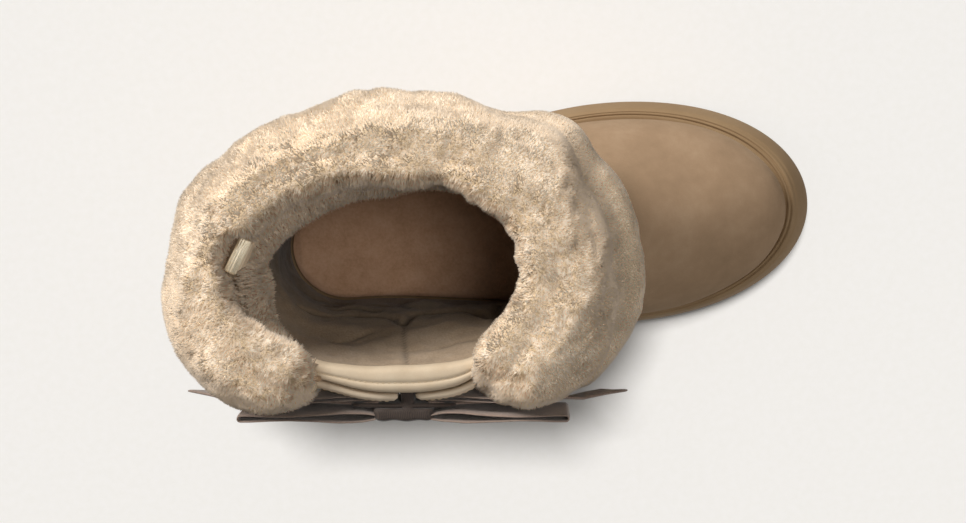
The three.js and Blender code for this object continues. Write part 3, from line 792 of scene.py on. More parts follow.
def makeFootbed():
    angles = np.linspace(0, np.pi, footbed["along"])
    t = float(shareAt(footbed["from"]))
    inset = -lining["footDepth"] - footbed["gap"]
    one, other = upperPoints(t, angles, inset), upperPoints(t, 2 * np.pi - angles, inset)
    across = np.linspace(0, 1, footbed["across"])[None, :, None]
    level = mix(one[:, None, :], other[:, None, :], across)
    span = np.linalg.norm(one - other, axis=1)[:, None]
    x = level[..., 0]
    edge = np.minimum(across[..., 0], 1 - across[..., 0]) * span
    edge = np.minimum(edge, np.minimum(x - x.min(), x.max() - x))
    rounding = footbed["rounding"] * (1 - ease(0, 5, edge))
    top, bottom = level.copy(), level.copy()
    top[..., 2] = featherLine(x) + footbed["thick"] - rounding + soften(level, 0.5, 16)
    bottom[..., 2] = featherLine(x) + footbed["under"]
    made = slab("footbed", top, bottom, footbedPile)
    place(made, "footbed", "insole")


facing = makeLining()
makeFootbed()
print("lining and footbed made")

clip = {
    "angle": 21, "length": 16.5, "radius": 2.8, "flutes": 14, "height": 163.1, "inset": 6.2,
    "strapInset": 8.6, "strapHalf": 6.5, "strapThick": 1.6, "strapLength": 15.7,
}


def clipPlace(points, inset):
    wall = upperPoints(1.0, math.radians(clip["angle"]), -inset)
    ahead = upperPoints(1.0, math.radians(clip["angle"]) + 0.05, -inset)
    return turnedTo(points, math.atan2(ahead[1] - wall[1], ahead[0] - wall[0]), (*wall[:2], 0))


cuff = {
    "voxel": 2.2, "under": 3.0, "inner": -2.6, "lump": 3.4, "lumpSize": 24,
    "centre": (20, -4),  # the middle of the opening, in plan
    # where the wool swells out, and the hollow that holds the clip: mm out or in, how far
    # round it reaches, and which way the wool faces there (1 is into the opening)
    "swells": [
        {"at": (102, 56, 134), "squash": 0.8, "out": 6.0, "near": (6, 30), "facing": (-0.1, -0.6)},
        {"at": (-46, -52, 150), "squash": 0.7, "out": 4.5, "near": (8, 34), "facing": (-0.2, -0.7)},
    ],
    "clipHollow": {"squash": 0.7, "in": 4.2, "near": (8, 14), "facing": (-0.2, 0.4)},
    "parts": 4, "locksPerPart": 42000, "facingLocks": 8500, "lockLength": 4.6, "lockWidth": 0.6,
    "clumpSize": 3.4, "clumpPull": 0.55, "spread": 0.35,
}


def makeWoolCore():
    core = linked("woolCore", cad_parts["cuff"].data.copy())
    work = bmesh.new()
    work.from_mesh(core.data)
    bmesh.ops.remove_doubles(work, verts=work.verts, dist=0.00002)
    work.to_mesh(core.data)
    work.free()
    core.data.materials.clear()
    addModifier(core, "REMESH", mode="VOXEL", voxel_size=cuff["voxel"] * mm)
    addModifier(core, "SMOOTH", factor=0.6, iterations=6)
    modified(core)
    mesh = core.data
    points, normals = np.zeros(len(mesh.vertices) * 3), np.zeros(len(mesh.vertices) * 3)
    mesh.vertices.foreach_get("co", points)
    mesh.vertices.foreach_get("normal", normals)
    smooth, normals = points.reshape(-1, 3) / mm, normals.reshape(-1, 3)
    points = smooth + normals * woolRelief(smooth, facingIn(smooth, normals))[:, None]
    mesh.vertices.foreach_set("co", (points * mm).ravel())
    mesh.update()
    normals = np.zeros(len(mesh.vertices) * 3)
    mesh.vertices.foreach_get("normal", normals)
    markWool(mesh, points, facingIn(smooth, normals.reshape(-1, 3)))
    mesh.shade_smooth()
    mesh.materials.append(woolCore)
    outward(core)
    return core


def facingIn(points, normals):  # 1 where the wool faces the middle of the opening
    toCentre = cuff["centre"] - points[:, :2]
    toCentre /= np.linalg.norm(toCentre, axis=1)[:, None]
    return (toCentre * normals[:, :2]).sum(1)


def nearSpot(points, middle, spot):  # 1 close to a spot on the wool, 0 far from it
    apart = np.linalg.norm((points - middle) * [1, 1, spot["squash"]], axis=1)
    return 1 - ease(*spot["near"], apart)


def woolRelief(points, inward):  # mm that the core moves out: lumps, swells and room for locks
    lump = soften(points, cuff["lump"], cuff["lumpSize"]) + soften(points, 1.1, 8, 3)
    lump += soften(points, 1.0, 4.6, 6) * ease(150, 164, points[:, 2])
    lump *= mix(0.5, 1, ease(128, 138, points[:, 2]))
    under = mix(1.6, cuff["under"], ease(150, 164, points[:, 2]))
    inside = ease(0.1, 0.7, inward) * ease(146, 152, points[:, 2])
    metal = clipPlace(np.zeros((1, 3)) + [0, 0, clip["height"]], clip["inset"])[0]
    hollow = cuff["clipHollow"]
    near = nearSpot(points, metal, hollow)
    under = mix(under, cuff["inner"], inside * (1 - near))
    under = mix(under, hollow["in"], near * ease(*hollow["facing"], inward))
    for swell in cuff["swells"]:
        near = nearSpot(points, swell["at"], swell)
        under = under - swell["out"] * near * ease(*swell["facing"], inward)
    return lump - under


def markWool(mesh, points, inward):  # where wool grows, how curly it is and how long
    t = np.linspace(float(shareAt(85)), 1, 70)[:, None]
    angles = np.linspace(0, 2 * np.pi, 240, endpoint=False)[None, :]
    wall = upperPoints(t, angles).reshape(-1, 3)
    tree = KDTree(len(wall))
    for i, point in enumerate(wall):
        tree.insert(Vector(point), i)
    tree.balance()
    away = np.array([tree.find(Vector(point))[2] for point in points])
    heights = points[:, 2]
    cover = (away > cuff["under"] + 3.5) | (heights > 157)
    across, along = points[:, 1] - cuff["centre"][1], cuff["centre"][0] - points[:, 0]
    turn = (np.arctan2(across, along) + 2 * np.pi) % (2 * np.pi)
    share = ((turn + np.radians(90)) % (2 * np.pi)) / (2 * np.pi)  # 0 in the gap
    # the crest: curlier wool, which the material gives painted shade in the gaps between its curls
    crest = ease(156, 168, heights) * ease(-0.6, -0.1, inward)
    crest = crest * np.clip(0.75 + soften(points, 0.9, 11, 9), 0, 1)
    low = 1 - ease(126, 134, heights)
    front = ease(38, 60, points[:, 0]) * ease(0.35, 0.75, inward) * (1 - ease(168, 172, heights))
    pile = mix(0.42, 1.0, crest) * mix(1, 0.5, low) * mix(1, 0.5, front)
    for name, values in (("cover", cover), ("turn", share), ("crest", crest), ("pile", pile)):
        setValues(mesh, name, values)


def lockMesh():  # one lock of wool: a thin pyramid, 1 long and 1 wide
    mesh = bpy.data.meshes.new("lock")
    corners = [(math.cos(a) * 0.58, math.sin(a) * 0.58, 0) for a in (0.0, 2.094, 4.189)]
    mesh.from_pydata(corners + [(0, 0, 1)], [], [(2, 1, 0), (0, 1, 3), (1, 2, 3), (2, 0, 3)])
    # 0 at the root, 1 at the tip: the material darkens the root, partly as painted shade
    setValues(mesh, "along", np.array([0, 0, 0, 1]))
    return linked("lock", mesh)


def newTree(name, sizes):  # a tree with a named input for each size, and one for the seed
    tree = bpy.data.node_groups.new(name, "GeometryNodeTree")
    tree.interface.new_socket("Geometry", in_out="INPUT", socket_type="NodeSocketGeometry")
    for label in sizes:
        tree.interface.new_socket(label, in_out="INPUT", socket_type="NodeSocketFloat")
    tree.interface.new_socket("Seed", in_out="INPUT", socket_type="NodeSocketInt")
    tree.interface.new_socket("Geometry", in_out="OUTPUT", socket_type="NodeSocketGeometry")
    return tree, addNode(tree, "NodeGroupInput").outputs


def endTree(tree, instances, material):
    real = addNode(tree, "GeometryNodeRealizeInstances", {0: instances})
    finish = addNode(tree, "GeometryNodeSetMaterial",
                     {"Geometry": real.outputs[0], "Material": material})
    addNode(tree, "NodeGroupOutput", {0: finish.outputs[0]})
    return tree


def woolTree(lock):
    tree, entry = newTree("woolLocks", ("Locks per m2", "Length", "Width", "Clump size",
                                        "Clump pull", "Spread", "From", "To"))
    turn, cover, crest, pile = (
        addNode(tree, "GeometryNodeInputNamedAttribute", {"Name": label},
                data_type="FLOAT").outputs["Attribute"]
        for label in ("turn", "cover", "crest", "pile"))
    # locks stand on the wool's ground, between two shares of the way round
    above = addNode(tree, "FunctionNodeCompare", {"A": turn, "B": entry["From"]},
                    data_type="FLOAT", operation="GREATER_EQUAL")
    below = addNode(tree, "FunctionNodeCompare", {"A": turn, "B": entry["To"]},
                    data_type="FLOAT", operation="LESS_THAN")
    inside = addNode(tree, "FunctionNodeBooleanMath",
                     {0: above.outputs[0], 1: below.outputs[0]}, operation="AND")
    density = addNode(tree, "ShaderNodeMath", {0: entry["Locks per m2"], 1: cover},
                      operation="MULTIPLY")
    scatter = addNode(tree, "GeometryNodeDistributePointsOnFaces", {
        "Mesh": entry["Geometry"], "Density": density.outputs[0], "Seed": entry["Seed"],
        "Selection": inside.outputs[0]})
    # on the crest they lean together into clumps
    position = addNode(tree, "GeometryNodeInputPosition").outputs[0]
    cellScale = addNode(tree, "ShaderNodeMath", {0: 1.0, 1: entry["Clump size"]},
                        operation="DIVIDE")
    cells = addNode(tree, "ShaderNodeTexVoronoi",
                    {"Vector": position, "Scale": cellScale.outputs[0]})
    toClump = addNode(tree, "ShaderNodeVectorMath",
                      {0: cells.outputs["Position"], 1: position}, operation="SUBTRACT")
    pull = addNode(tree, "ShaderNodeMath", {0: entry["Clump pull"], 1: entry["Length"]},
                   operation="DIVIDE")
    crestPull = addNode(tree, "ShaderNodeMath", {0: pull.outputs[0], 1: crest},
                        operation="MULTIPLY")
    lean = addNode(tree, "ShaderNodeVectorMath",
                   {0: toClump.outputs[0], "Scale": crestPull.outputs[0]}, operation="SCALE")
    # each lock also follows a slow swirl and strays a little
    slow = addNode(tree, "ShaderNodeTexNoise", {"Vector": position, "Scale": 95, "Detail": 2})
    centred = addNode(tree, "ShaderNodeVectorMath",
                      {0: slow.outputs["Color"], 1: (0.5, 0.5, 0.5)}, operation="SUBTRACT")
    swirl = addNode(tree, "ShaderNodeVectorMath", {0: centred.outputs[0], "Scale": 1.1},
                    operation="SCALE")
    jitter = addNode(tree, "FunctionNodeRandomValue",
                     {0: (-1, -1, -1), 1: (1, 1, 1), "Seed": entry["Seed"]},
                     data_type="FLOAT_VECTOR")
    stray = addNode(tree, "ShaderNodeVectorMath",
                    {0: jitter.outputs[0], "Scale": entry["Spread"]}, operation="SCALE")
    direction = scatter.outputs["Normal"]
    for push in (lean, stray, swirl):
        direction = addNode(tree, "ShaderNodeVectorMath", {0: direction, 1: push.outputs[0]},
                            operation="ADD").outputs[0]
    aligned = addNode(tree, "FunctionNodeAlignRotationToVector", {"Vector": direction}, axis="Z")
    size = addNode(tree, "FunctionNodeRandomValue", {2: 0.7, 3: 1.12, "Seed": 11},
                   data_type="FLOAT")
    longer = addNode(tree, "ShaderNodeMath", {0: entry["Length"], 1: size.outputs[1]},
                     operation="MULTIPLY")
    length = addNode(tree, "ShaderNodeMath", {0: longer.outputs[0], 1: pile},
                     operation="MULTIPLY")
    scale = addNode(tree, "ShaderNodeCombineXYZ",
                    {"X": entry["Width"], "Y": entry["Width"], "Z": length.outputs[0]})
    # the ground's normal and a random tone go along for the material
    grounded = addNode(tree, "GeometryNodeStoreNamedAttribute", {
        "Geometry": scatter.outputs["Points"], "Name": "ground",
        "Value": scatter.outputs["Normal"]}, data_type="FLOAT_VECTOR", domain="POINT")
    shape = addNode(tree, "GeometryNodeObjectInfo", {"Object": lock})
    planted = addNode(tree, "GeometryNodeInstanceOnPoints", {
        "Points": grounded.outputs[0], "Instance": shape.outputs["Geometry"],
        "Rotation": aligned.outputs[0], "Scale": scale.outputs[0]})
    tone = addNode(tree, "FunctionNodeRandomValue", {"Seed": 23}, data_type="FLOAT")
    toned = addNode(tree, "GeometryNodeStoreNamedAttribute", {
        "Geometry": planted.outputs[0], "Name": "tone", "Value": tone.outputs[1]},
        data_type="FLOAT", domain="INSTANCE")
    return endTree(tree, toned.outputs[0], cuffWool)


def grown(name, ground, tree, values):  # a plain mesh of what the tree makes on the ground mesh
    thing = linked(name, ground.data.copy())
    modifier = thing.modifiers.new("growth", "NODES")
    modifier.node_group = tree
    sockets = {item.name: item.identifier for item in tree.interface.items_tree
               if item.item_type == "SOCKET" and item.in_out == "INPUT"}
    for label, value in values.items():
        modifier[sockets[label]] = value
    return modified(thing)


def woolArea(mesh):  # the area that wool covers, m2
    cover = mesh.attributes["cover"].data
    return sum(p.area for p in mesh.polygons if cover[p.vertices[0]].value > 0.5)


def makeCuff(facing):
    core = makeWoolCore()
    place(core, "wool", "cuff")
    lock = lockMesh()
    tree = woolTree(lock)
    mesh = core.data
    density = cuff["locksPerPart"] * cuff["parts"] / woolArea(mesh)
    turns, cover = np.zeros(len(mesh.vertices)), np.zeros(len(mesh.vertices))
    mesh.attributes["turn"].data.foreach_get("value", turns)
    mesh.attributes["cover"].data.foreach_get("value", cover)
    bounds = np.quantile(turns[cover > 0.5], np.linspace(0, 1, cuff["parts"] + 1))
    bounds[0], bounds[-1] = -0.01, 1.01
    for i in range(cuff["parts"]):
        wool = grown(f"cuffWool{i + 1}", core, tree, {
            "Locks per m2": density, "Length": cuff["lockLength"] * mm,
            "Width": cuff["lockWidth"] * mm, "Clump size": cuff["clumpSize"] * mm,
            "Clump pull": cuff["clumpPull"], "Spread": cuff["spread"],
            "From": float(bounds[i]), "To": float(bounds[i + 1]), "Seed": 5 + i})
        place(wool, "wool", "cuff")
        wool.visible_shadow = False  # light passes through loose fleece; the core under it blocks
    wool = grown("facingWool", facing, tree, {
        "Locks per m2": cuff["facingLocks"] / woolArea(facing.data),
        "Length": cuff["lockLength"] * 0.8 * mm, "Width": cuff["lockWidth"] * 1.2 * mm,
        "Clump size": cuff["clumpSize"] * mm, "Clump pull": 0.6, "Spread": 0.5,
        "From": 0.0, "To": 1.0, "Seed": 31})
    place(wool, "suede", "upper")
    wool.visible_shadow = False
    bpy.data.objects.remove(facing)
    bpy.data.objects.remove(lock)


makeCuff(facing)
print("cuff made")

stitch = {"pitch": 3.0, "length": 2.3, "width": 0.6, "wander": 0.06}


def stitchMesh():  # one stitch lying along X, 1 long and 1 wide, sunk at both ends
    rings = []
    for x, size, lift in ((-0.5, 0.35, -0.5), (-0.36, 0.8, -0.08), (0, 1.0, 0.1),
                          (0.36, 0.8, -0.08), (0.5, 0.35, -0.5)):
        rings.append([(x, size * 0.5 * math.cos(a), lift + size * 0.5 * math.sin(a))
                      for a in np.linspace(0, 2 * math.pi, 6, endpoint=False)])
    return cappedTube("oneStitch", np.array(rings) / mm, thread)


def stitchTree(one):
    tree, entry = newTree("stitchRow", ("Pitch", "Length", "Width", "Wander"))
    line = addNode(tree, "GeometryNodeMeshToCurve", {"Mesh": entry["Geometry"]})
    spaced = addNode(tree, "GeometryNodeCurveToPoints",
                     {"Curve": line.outputs[0], "Length": entry["Pitch"]}, mode="LENGTH")
    # each stitch strays a little from the line, and its top faces out of the surface
    jitter = addNode(tree, "FunctionNodeRandomValue",
                     {0: (-1, -1, -1), 1: (1, 1, 1), "Seed": entry["Seed"]},
                     data_type="FLOAT_VECTOR")
    stray = addNode(tree, "ShaderNodeVectorMath",
                    {0: jitter.outputs[0], "Scale": entry["Wander"]}, operation="SCALE")
    along = addNode(tree, "ShaderNodeVectorMath",
                    {0: spaced.outputs["Tangent"], 1: stray.outputs[0]}, operation="ADD")
    upright = addNode(tree, "GeometryNodeInputNamedAttribute", {"Name": "out"},
                      data_type="FLOAT_VECTOR")
    lying = addNode(tree, "FunctionNodeAlignRotationToVector", {"Vector": along.outputs[0]},
                    axis="X")
    turned = addNode(tree, "FunctionNodeAlignRotationToVector",
                     {"Rotation": lying.outputs[0], "Vector": upright.outputs["Attribute"]},
                     axis="Z", pivot_axis="X")
    size = addNode(tree, "ShaderNodeCombineXYZ",
                   {"X": entry["Length"], "Y": entry["Width"], "Z": entry["Width"]})
    shape = addNode(tree, "GeometryNodeObjectInfo", {"Object": one})
    sewn = addNode(tree, "GeometryNodeInstanceOnPoints", {
        "Points": spaced.outputs["Points"], "Instance": shape.outputs["Geometry"],
        "Rotation": turned.outputs[0], "Scale": size.outputs[0]})
    return endTree(tree, sewn.outputs[0], thread)


def sew(name, line, outs, node, **changes):  # outs: which way is out at each point
    sizes = {**stitch, **changes}
    count = len(line)
    points = (np.asarray(line, float) * mm).tolist()
    mesh = bpy.data.meshes.new(name + "Line")
    mesh.from_pydata(points, [(i, i + 1) for i in range(count - 1)], [])
    outs = np.broadcast_to(np.asarray(outs, float), (count, 3))
    attribute = mesh.attributes.new("out", "FLOAT_VECTOR", "POINT")
    attribute.data.foreach_set("vector", outs.astype(np.float32).ravel())
    ground = linked(name + "Line", mesh)
    one = stitchMesh()
    made = grown(name, ground, stitchTree(one), {
        "Pitch": sizes["pitch"] * mm, "Length": sizes["length"] * mm,
        "Width": sizes["width"] * mm, "Wander": sizes["wander"], "Seed": 3})
    bpy.data.objects.remove(one)
    bpy.data.objects.remove(ground)
    place(made, "suede", node)


gusset = {
    "top": 152.5, "crown": 155.6,
    # the rolled edge across its width: share from the outer face in, mm below the crown
    "roll": [(-0.01, 7.5), (0.0, 3.2), (0.05, 1.3), (0.14, 0.35), (0.28, 0.0), (0.37, 0.2),
             (0.415, 0.75), (0.46, 0.2), (0.6, 0.0), (0.8, 0.15), (0.92, 0.8), (0.99, 2.2),
             (1.03, 5.0), (1.0, 8.5)],
}


def gussetWidth(x):  # where the rolled edge's outer and inner faces stand, mm from the shaft
    return bulgeAt(x, 152.0) + 0.3, -np.interp(x, *zip(*gussetInside)) - 0.6


def gussetCrown(x, share):  # a point on the rolled edge, by its share of the way in
    outer, inner = gussetWidth(x)
    return shaftPoints(x, 150.0, mix(outer, inner, share))


def makeGusset():
    xs = np.linspace(slit["middle"] - 44, slit["middle"] + 44, 60)[:, None]
    zs = np.linspace(slit["bottom"] - 4, gusset["top"], 34)[None, :]
    bulge = bulgeAt(xs, zs)
    outer = shaftPoints(xs, zs, bulge)
    inner = shaftPoints(xs, zs, np.minimum(bulge - 3, -1.2))
    panel = slab("gussetPanel", outer, inner, gussetSuede)
    cutter = slitPrism(0.5)
    addModifier(panel, "BOOLEAN", operation="INTERSECT", object=cutter, solver="EXACT")
    modified(panel)
    bpy.data.objects.remove(cutter)
    place(panel, "suede", "gusset")
    # the padded top edge, rolled over, with a sewn groove along it
    rings, line = [], []
    for x in np.linspace(-13, 72, 110):
        sag = 0.5 * noise.noise(Vector((x / 13, 2.0, 0)))
        ring = []
        for share, down in gusset["roll"]:
            point = gussetCrown(x, share)
            ring.append((point[0], point[1], gusset["crown"] - down + sag * (down < 3)))
        rings.append(ring)
        groove = gussetCrown(x, 0.415)
        line.append((groove[0], groove[1], gusset["crown"] - 0.72 + sag))
    roll = cappedTube("gussetEdge", rings, gussetSuede)
    place(roll, "suede", "gusset")
    sew("gussetStitches", line, (0, 0, 1), "gusset", width=0.75, pitch=2.6, length=1.8)


tabs = {
    "heel": {"from": -15, "to": 23.5, "free": 1},
    "toe": {"from": 31, "to": 73, "free": -1},
    "bottom": 124, "top": 152.6, "lift": 0.9, "depth": 3.7, "corner": 9, "seam": 2.6,
}


def makeTab(side):
    tab = tabs[side]
    along, up = 70, 34
    u = np.linspace(0, 1, along)[:, None] + np.zeros((1, up))
    v = np.zeros((along, 1)) + np.linspace(0, 1, up)[None, :]
    width, height = tab["to"] - tab["from"], tabs["top"] - tabs["bottom"]
    # the free end is rounded at its lower corner: columns near it are shorter
    fromFree = (1 - u if tab["free"] > 0 else u) * width
    cut = tabs["corner"] * (1 - np.sqrt(1 - (1 - np.clip(fromFree / tabs["corner"], 0, 1)) ** 2))
    x = tab["from"] + u * width
    z = tabs["bottom"] + cut + v * (height - 1.25 * cut)
    edge = np.minimum(np.minimum(v, 1 - v) * height, fromFree)
    rounding = 1.35 * (1 - ease(0, 2.0, edge))
    uneven = soften(np.stack([x, z, 0 * x], -1), 0.35, 7, 5)
    bulge = bulgeAt(x, z)
    outer = shaftPoints(x, z, bulge + tabs["lift"] + tabs["depth"] - rounding + uneven)
    inner = shaftPoints(x, z, bulge + tabs["lift"] + 0.4 * rounding)
    piece = slab(f"tab_{side}", outer, inner, tabSuede)
    place(piece, "suede", f"tab_{side}")
    # one row of stitches runs along the lower edge, round the free end and back along the top
    back = tab["from"] if tab["free"] > 0 else tab["to"]
    tip = tab["to"] - 2.8 if tab["free"] > 0 else tab["from"] + 2.8
    low, high = tabs["bottom"] + tabs["seam"], tabs["top"] - tabs["seam"]
    corners = [(back, low), (mix(tip, back, 0.16), low), (mix(tip, back, 0.04), low + 2.4),
               (tip, low + 6.4), (tip, high - 2.4), (mix(tip, back, 0.05), high), (back, high)]
    line = []
    for (x0, z0), (x1, z1) in zip(corners[:-1], corners[1:]):
        for f in np.linspace(0, 1, 12, endpoint=False):
            line.append((mix(x0, x1, f), mix(z0, z1, f)))
    x, z = np.array(line).T
    face = bulgeAt(x, z) + tabs["lift"] + tabs["depth"]
    points = shaftPoints(x, z, face + 0.12)
    outs = points - shaftPoints(x, z, face - 1)
    sew(f"tabStitches_{side}", points, outs, f"tab_{side}")


makeGusset()
makeTab("heel")
makeTab("toe")
print("gusset and tabs made")

bow = {
    "at": (25.3, -66.5, 138), "turn": -4, "width": 32, "depth": 1.3,
    "loopReach": 74, "loopDepth": 5.6, "fold": 1.3,
    "innerReach": 47, "innerWidth": 27, "innerDepth": 0.7,
    "tailReach": 99.5, "tailDrop": 26, "tailWidth": 26, "tailSlant": 12,
    "knotWidth": 26, "knotHeight": 26, "knotDepth": 3.5, "layersHalf": 23,
}


def bowPlace(points):
    return turnedTo(points, math.radians(bow["turn"]), bow["at"])


def strip(name, path, low, high, depth):
    # path: (n, 2) line in plan. low, high: heights of the ribbon's edges along it
    path = np.asarray(path, float)
    along = np.gradient(path, axis=0)
    along /= np.linalg.norm(along, axis=1)[:, None]
    normal = np.stack([-along[:, 1], along[:, 0]], -1)
    length = np.concatenate([[0], np.cumsum(np.linalg.norm(np.diff(path, axis=0), axis=1))])
    v = np.linspace(0, 1, 8)
    grids = []
    for side in (0.5, -0.5):
        grid = np.zeros((len(path), len(v), 3))
        thin = depth * (0.55 + 0.45 * ease(0, 0.06, np.minimum(v, 1 - v)))
        grid[..., :2] = path[:, None, :] + normal[:, None, :] * side * thin[None, :, None]
        grid[..., 2] = mix(low[:, None], high[:, None], v[None, :])
        grids.append(bowPlace(grid))
    piece = slab(name, grids[0], grids[1], ribbon)
    uv = np.stack([np.repeat(length, len(v)), np.tile(v * bow["width"], len(path))], -1) * mm
    giveUv(piece, np.concatenate([uv, uv]))
    addModifier(piece, "SUBSURF", levels=1, render_levels=1)
    modified(piece)
    place(piece, "ribbon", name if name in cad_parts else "bow_knot")
    return piece, float(length[-1])


def makeLoop(side, name):
    # a flattened loop: open near the knot, pressed together, round at its fold
    half, root = bow["loopDepth"] / 2 - bow["depth"] / 2, bow["knotWidth"] / 2 - 1.5
    far = bow["loopReach"] - bow["loopDepth"] / 2
    fold = bow["fold"]
    gapRows = [(0, 0.8), (0.1, 1.8), (0.25, 2.1), (0.45, 1.3), (0.65, 0.8), (0.8, 0.95),
               (0.92, fold), (1, fold)]
    path = []
    for f in np.linspace(0, 1, 40):
        gap = min(half, float(np.interp(f, *zip(*gapRows))))
        bend = 0.35 * math.sin(7 * f + side) * ease(0, 0.2, f) * (1 - f)
        path.append((mix(root, far, f), gap, bend))
    line = [(x, y + b) for x, y, b in path]
    for degrees in np.linspace(70, -70, 9):
        turn = math.radians(degrees)
        line.append((far + fold * math.cos(turn), fold * math.sin(turn)))
    line += [(x, -y + b) for x, y, b in path[::-1]]
    line = np.array(line) * np.array([side, 1]) - np.array([0, 0.9])
    reach = np.abs(line[:, 0])
    pinch = 1 - 0.24 * (1 - ease(root, root + 22, reach))
    wave = 0.5 * np.sin(reach / 9 + side)
    high = bow["width"] / 2 * pinch
    piece, length = strip(name, line, wave - high, wave + high, bow["depth"])


def makeInnerLoop(side, name):
    # a shorter fold of the same ribbon, between the loop and the tabs
    root, far = bow["knotWidth"] / 2 - 2, bow["innerReach"]
    steps = np.linspace(0, 1, 24)
    line = [(mix(root, far, f), 5.6 + 0.5 * math.sin(5 * f)) for f in steps]
    line += [(far + 0.8 * math.cos(a), 4.8 + 0.8 * math.sin(a)) for a in (1.1, 0.4, -0.4, -1.1)]
    line += [(mix(far, root, f), 4.0 + 0.4 * math.sin(5 * (1 - f))) for f in steps]
    line = np.array(line) * np.array([side, 1]) + np.array([0, 1.9])
    reach = np.abs(line[:, 0])
    high = bow["innerWidth"] / 2 * (1 - 0.2 * (1 - ease(root, root + 18, reach)))
    piece, length = strip(name, line, -high - 1, high - 1, bow["innerDepth"])


def makeTail(side, name):
    # a flat strip that slopes down and out behind its loop
    count, across = 60, 14
    back = bow["loopDepth"] / 2 + 0.4 + bow["depth"] / 2
    root, half = bow["knotWidth"] / 2 - 2, bow["tailWidth"] / 2
    reach, drop = bow["tailReach"], bow["tailDrop"]
    f = np.linspace(0, 1, count)[:, None]
    v = np.linspace(0, 1, across)[None, :]
    x = side * mix(root, reach - bow["tailSlant"] * (1 - v), f)
    middle = mix(0, -drop, f)
    z = middle + mix(-half, half, v) * mix(0.8, 1, ease(0, 0.4, f))
    # the tail folds a little along its middle and curls at its tip
    wave = 0.7 * np.sin(f * 8 + side) + 1.1 * (np.abs(v - 0.5) * 2) * ease(0.3, 1, f)
    grids = []
    for face in (0.5, -0.5):
        thin = bow["depth"] * (0.5 + 0.5 * ease(0, 0.08, np.minimum(v, 1 - v)))
        # it leaves from behind the loop's end and leans out to its tip
        line = np.interp(f, [0, 0.1, 0.68, 0.78, 0.9, 1], [back, 2.6, 2.3, 1.2, 2.8, back])
        y = line + 0.17 * (z - middle) + 0.3 * wave * ease(0.1, 0.5, f) + face * thin
        grids.append(bowPlace(np.stack([x + 0 * v, y, z], -1)))
    piece = slab(name, grids[0], grids[1], ribbon)
    uv = np.stack([x + 0 * v, z], -1).reshape(-1, 2) * mm
    giveUv(piece, np.concatenate([uv, uv]))
    place(piece, "ribbon", name)


def squared(value, power):  # a sine or cosine pushed out towards a square
    return math.copysign(abs(value) ** power, value)


def knotPiece(name, rings):
    # every piece of the knot takes the darker ribbon: painted shade
    piece = cappedTube(name, bowPlace(np.array(rings)), knotRibbonPaintedShade)
    giveUv(piece, np.array([(v.co.z, v.co.x) for v in piece.data.vertices]))
    place(piece, "ribbon", "bow_knot")


def makeKnot():
    # a band of ribbon wrapped round the middle, in soft folds
    band, half = [], bow["knotWidth"] / 2
    for x in np.linspace(-1, 1, 48):
        end = 1 - abs(x) ** 8
        ring = []
        for angle in np.linspace(0, 2 * np.pi, 56, endpoint=False):
            c, s = math.cos(angle), math.sin(angle)
            fold = 0.3 * math.sin(7.5 * x + 1.2 * s)
            y = 0.4 + (bow["knotDepth"] + fold) * squared(c, 0.5) * (0.72 + 0.28 * end)
            z = (bow["knotHeight"] / 2 + 0.5 * fold) * squared(s, 0.4) * (0.88 + 0.12 * end)
            ring.append((x * half, min(y, 3), z))
        band.append(ring)
    knotPiece("bow_knot", band)
    # the neck that ties the knot to the panel, and the folded ends gathered behind the knot, all in
    # the knot's darker ribbon with painted shade
    around = np.linspace(0, 2 * np.pi, 28, endpoint=False)
    neck = []
    for y in np.linspace(2.0, 10.1, 14):
        tight = 1 - 0.12 * math.sin(math.pi * (y - 2) / 8)
        neck.append([(1.95 + 3.6 * tight * squared(math.cos(a), 0.5), y,
                      12.6 * tight * squared(math.sin(a), 0.3)) for a in around])
    knotPiece("bow_neck", neck)
    layers = []
    for share in np.linspace(-1, 1, 30):
        thin, high = 1 - 0.35 * abs(share) ** 3, 12.5 * (1 - 0.25 * share**4)
        layers.append([(bow["layersHalf"] * share, 4.0 + 1.6 * squared(math.cos(a), 0.5) * thin,
                        high * math.sin(a) - 1) for a in around])
    knotPiece("bow_layers", layers)


makeLoop(-1, "bow_loop_heel")
makeLoop(1, "bow_loop_toe")
makeTail(-1, "bow_tail_heel")
makeTail(1, "bow_tail_toe")
makeInnerLoop(-1, "bowInner_heel")
makeInnerLoop(1, "bowInner_toe")
makeKnot()
print("bow made")


def makeClip():
    rings = []
    half = clip["length"] / 2
    for x, shrink in ((-half, 0.5), (-half + 0.3, 0.15), (-half + 0.8, 0), (0, 0),
                      (half - 0.8, 0), (half - 0.3, 0.15), (half, 0.5)):
        ring = []
        for i in range(clip["flutes"] * 8):
            angle = 2 * math.pi * i / (clip["flutes"] * 8)
            radius = clip["radius"] - shrink - 0.16 * (1 - math.cos(clip["flutes"] * angle))
            ring.append((x, radius * math.cos(angle), clip["height"] + radius * math.sin(angle)))
        rings.append(ring)
    piece = cappedTube("metal_clip", clipPlace(np.array(rings), clip["inset"]), plate)
    place(piece, "clip_metal", "metal_clip")
    # the suede pull tab that the clip sits on
    half, thick = clip["strapHalf"], clip["strapThick"] / 2
    u = np.linspace(-half, half, 16)[:, None]
    v = np.linspace(0, 1, 16)[None, :]
    z = clip["height"] - clip["radius"] - 0.3 - clip["strapLength"] * v + 0 * u
    edge = 0.35 * (1 - ease(0, 1.2, half - np.abs(u))) + 0 * v
    front = clipPlace(np.stack([u + 0 * v, thick - edge, z], -1), clip["strapInset"])
    back = clipPlace(np.stack([u + 0 * v, edge - thick, z], -1), clip["strapInset"])
    strap = slab("heel_tab", front, back, tabSuede)
    place(strap, "suede", "heel_tab")


makeClip()
print("clip made")

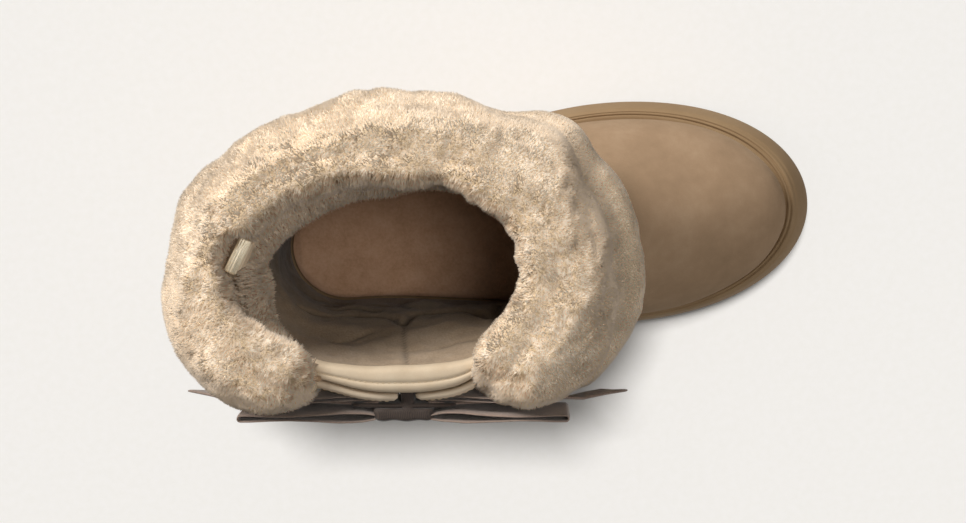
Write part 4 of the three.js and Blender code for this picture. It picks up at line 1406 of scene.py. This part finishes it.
studio = {
    "world": 0.12, "paperGlow": 0.04, "floorHalf": 6,  # metres
    # each light's direction from the boot, its strength and its softness in degrees
    "key": ((-0.95, 1.2, 0.74), 1.1, 26),
    "fill": ((1.0, -0.45, 0.5), 0.16, 40),
    "overhead": ((0.28, 0.10, 1.0), 0.2, 22),
    "paper": ((-0.06, 0.27, 1.0), 0.86, 13),
}


# white paper, matt, with the faintest grain
def paperMaterial():
    material, tree, shader = newMaterial("whitePaper", {
        "Roughness": 0.95, "Specular IOR Level": 0.0, "Emission Color": linear("#fdfcf8"),
        "Emission Strength": studio["paperGlow"]})
    grain = addNode(tree, "ShaderNodeTexNoise", {
        "Vector": addNode(tree, "ShaderNodeTexCoord").outputs["Object"],
        "Scale": perGrain(4), "Detail": 2, "Roughness": 0.55})
    colours = addNode(tree, "ShaderNodeValToRGB", {"Fac": grain.outputs["Fac"]},
                      [(0.3, "#f2f1ef"), (0.7, "#f4f3f2")])
    tree.links.new(colours.outputs["Color"], shader.inputs["Base Color"])
    return material


def makeStudio():
    mesh = bpy.data.meshes.new("floor")
    corners = [(x * studio["floorHalf"], y * studio["floorHalf"], -0.0002)
               for x, y in ((-1, -1), (1, -1), (1, 1), (-1, 1))]
    mesh.from_pydata(corners, [], [(0, 1, 2, 3)])
    mesh.materials.append(paperMaterial())
    floor = linked("floor", mesh)
    floor.visible_diffuse = False  # the paper doesn't light the boot from below
    world = bpy.data.worlds.new("world")
    world.use_nodes = True
    background = world.node_tree.nodes["Background"]
    background.inputs["Color"].default_value = linear("#fbf9f5")
    background.inputs["Strength"].default_value = studio["world"]
    bpy.context.scene.world = world
    # the boot and the paper have their own lights, so that the shadow stays short
    paperOnly = bpy.data.collections.new("paperOnly")
    paperOnly.objects.link(floor)
    notPaper = bpy.data.collections.new("notPaper")
    notPaper.objects.link(floor)
    notPaper.collection_objects[0].light_linking.link_state = "EXCLUDE"
    for name in ("key", "fill", "overhead", "paper"):
        towards, strength, soft = studio[name]
        data = bpy.data.lights.new(name, "SUN")
        data.angle = math.radians(soft)
        data.energy = math.pi * strength
        data.color = linear("#fffdfa")[:3]
        light = linked(name, data)
        aimed = Vector(towards).to_track_quat("Z", "Y").to_matrix().to_4x4()
        light.matrix_world = Matrix.Translation(Vector(towards) * 2) @ aimed
        light.light_linking.receiver_collection = paperOnly if name == "paper" else notPaper
    bpy.context.scene.view_settings.view_transform = "Standard"


makeStudio()
print("studio made")
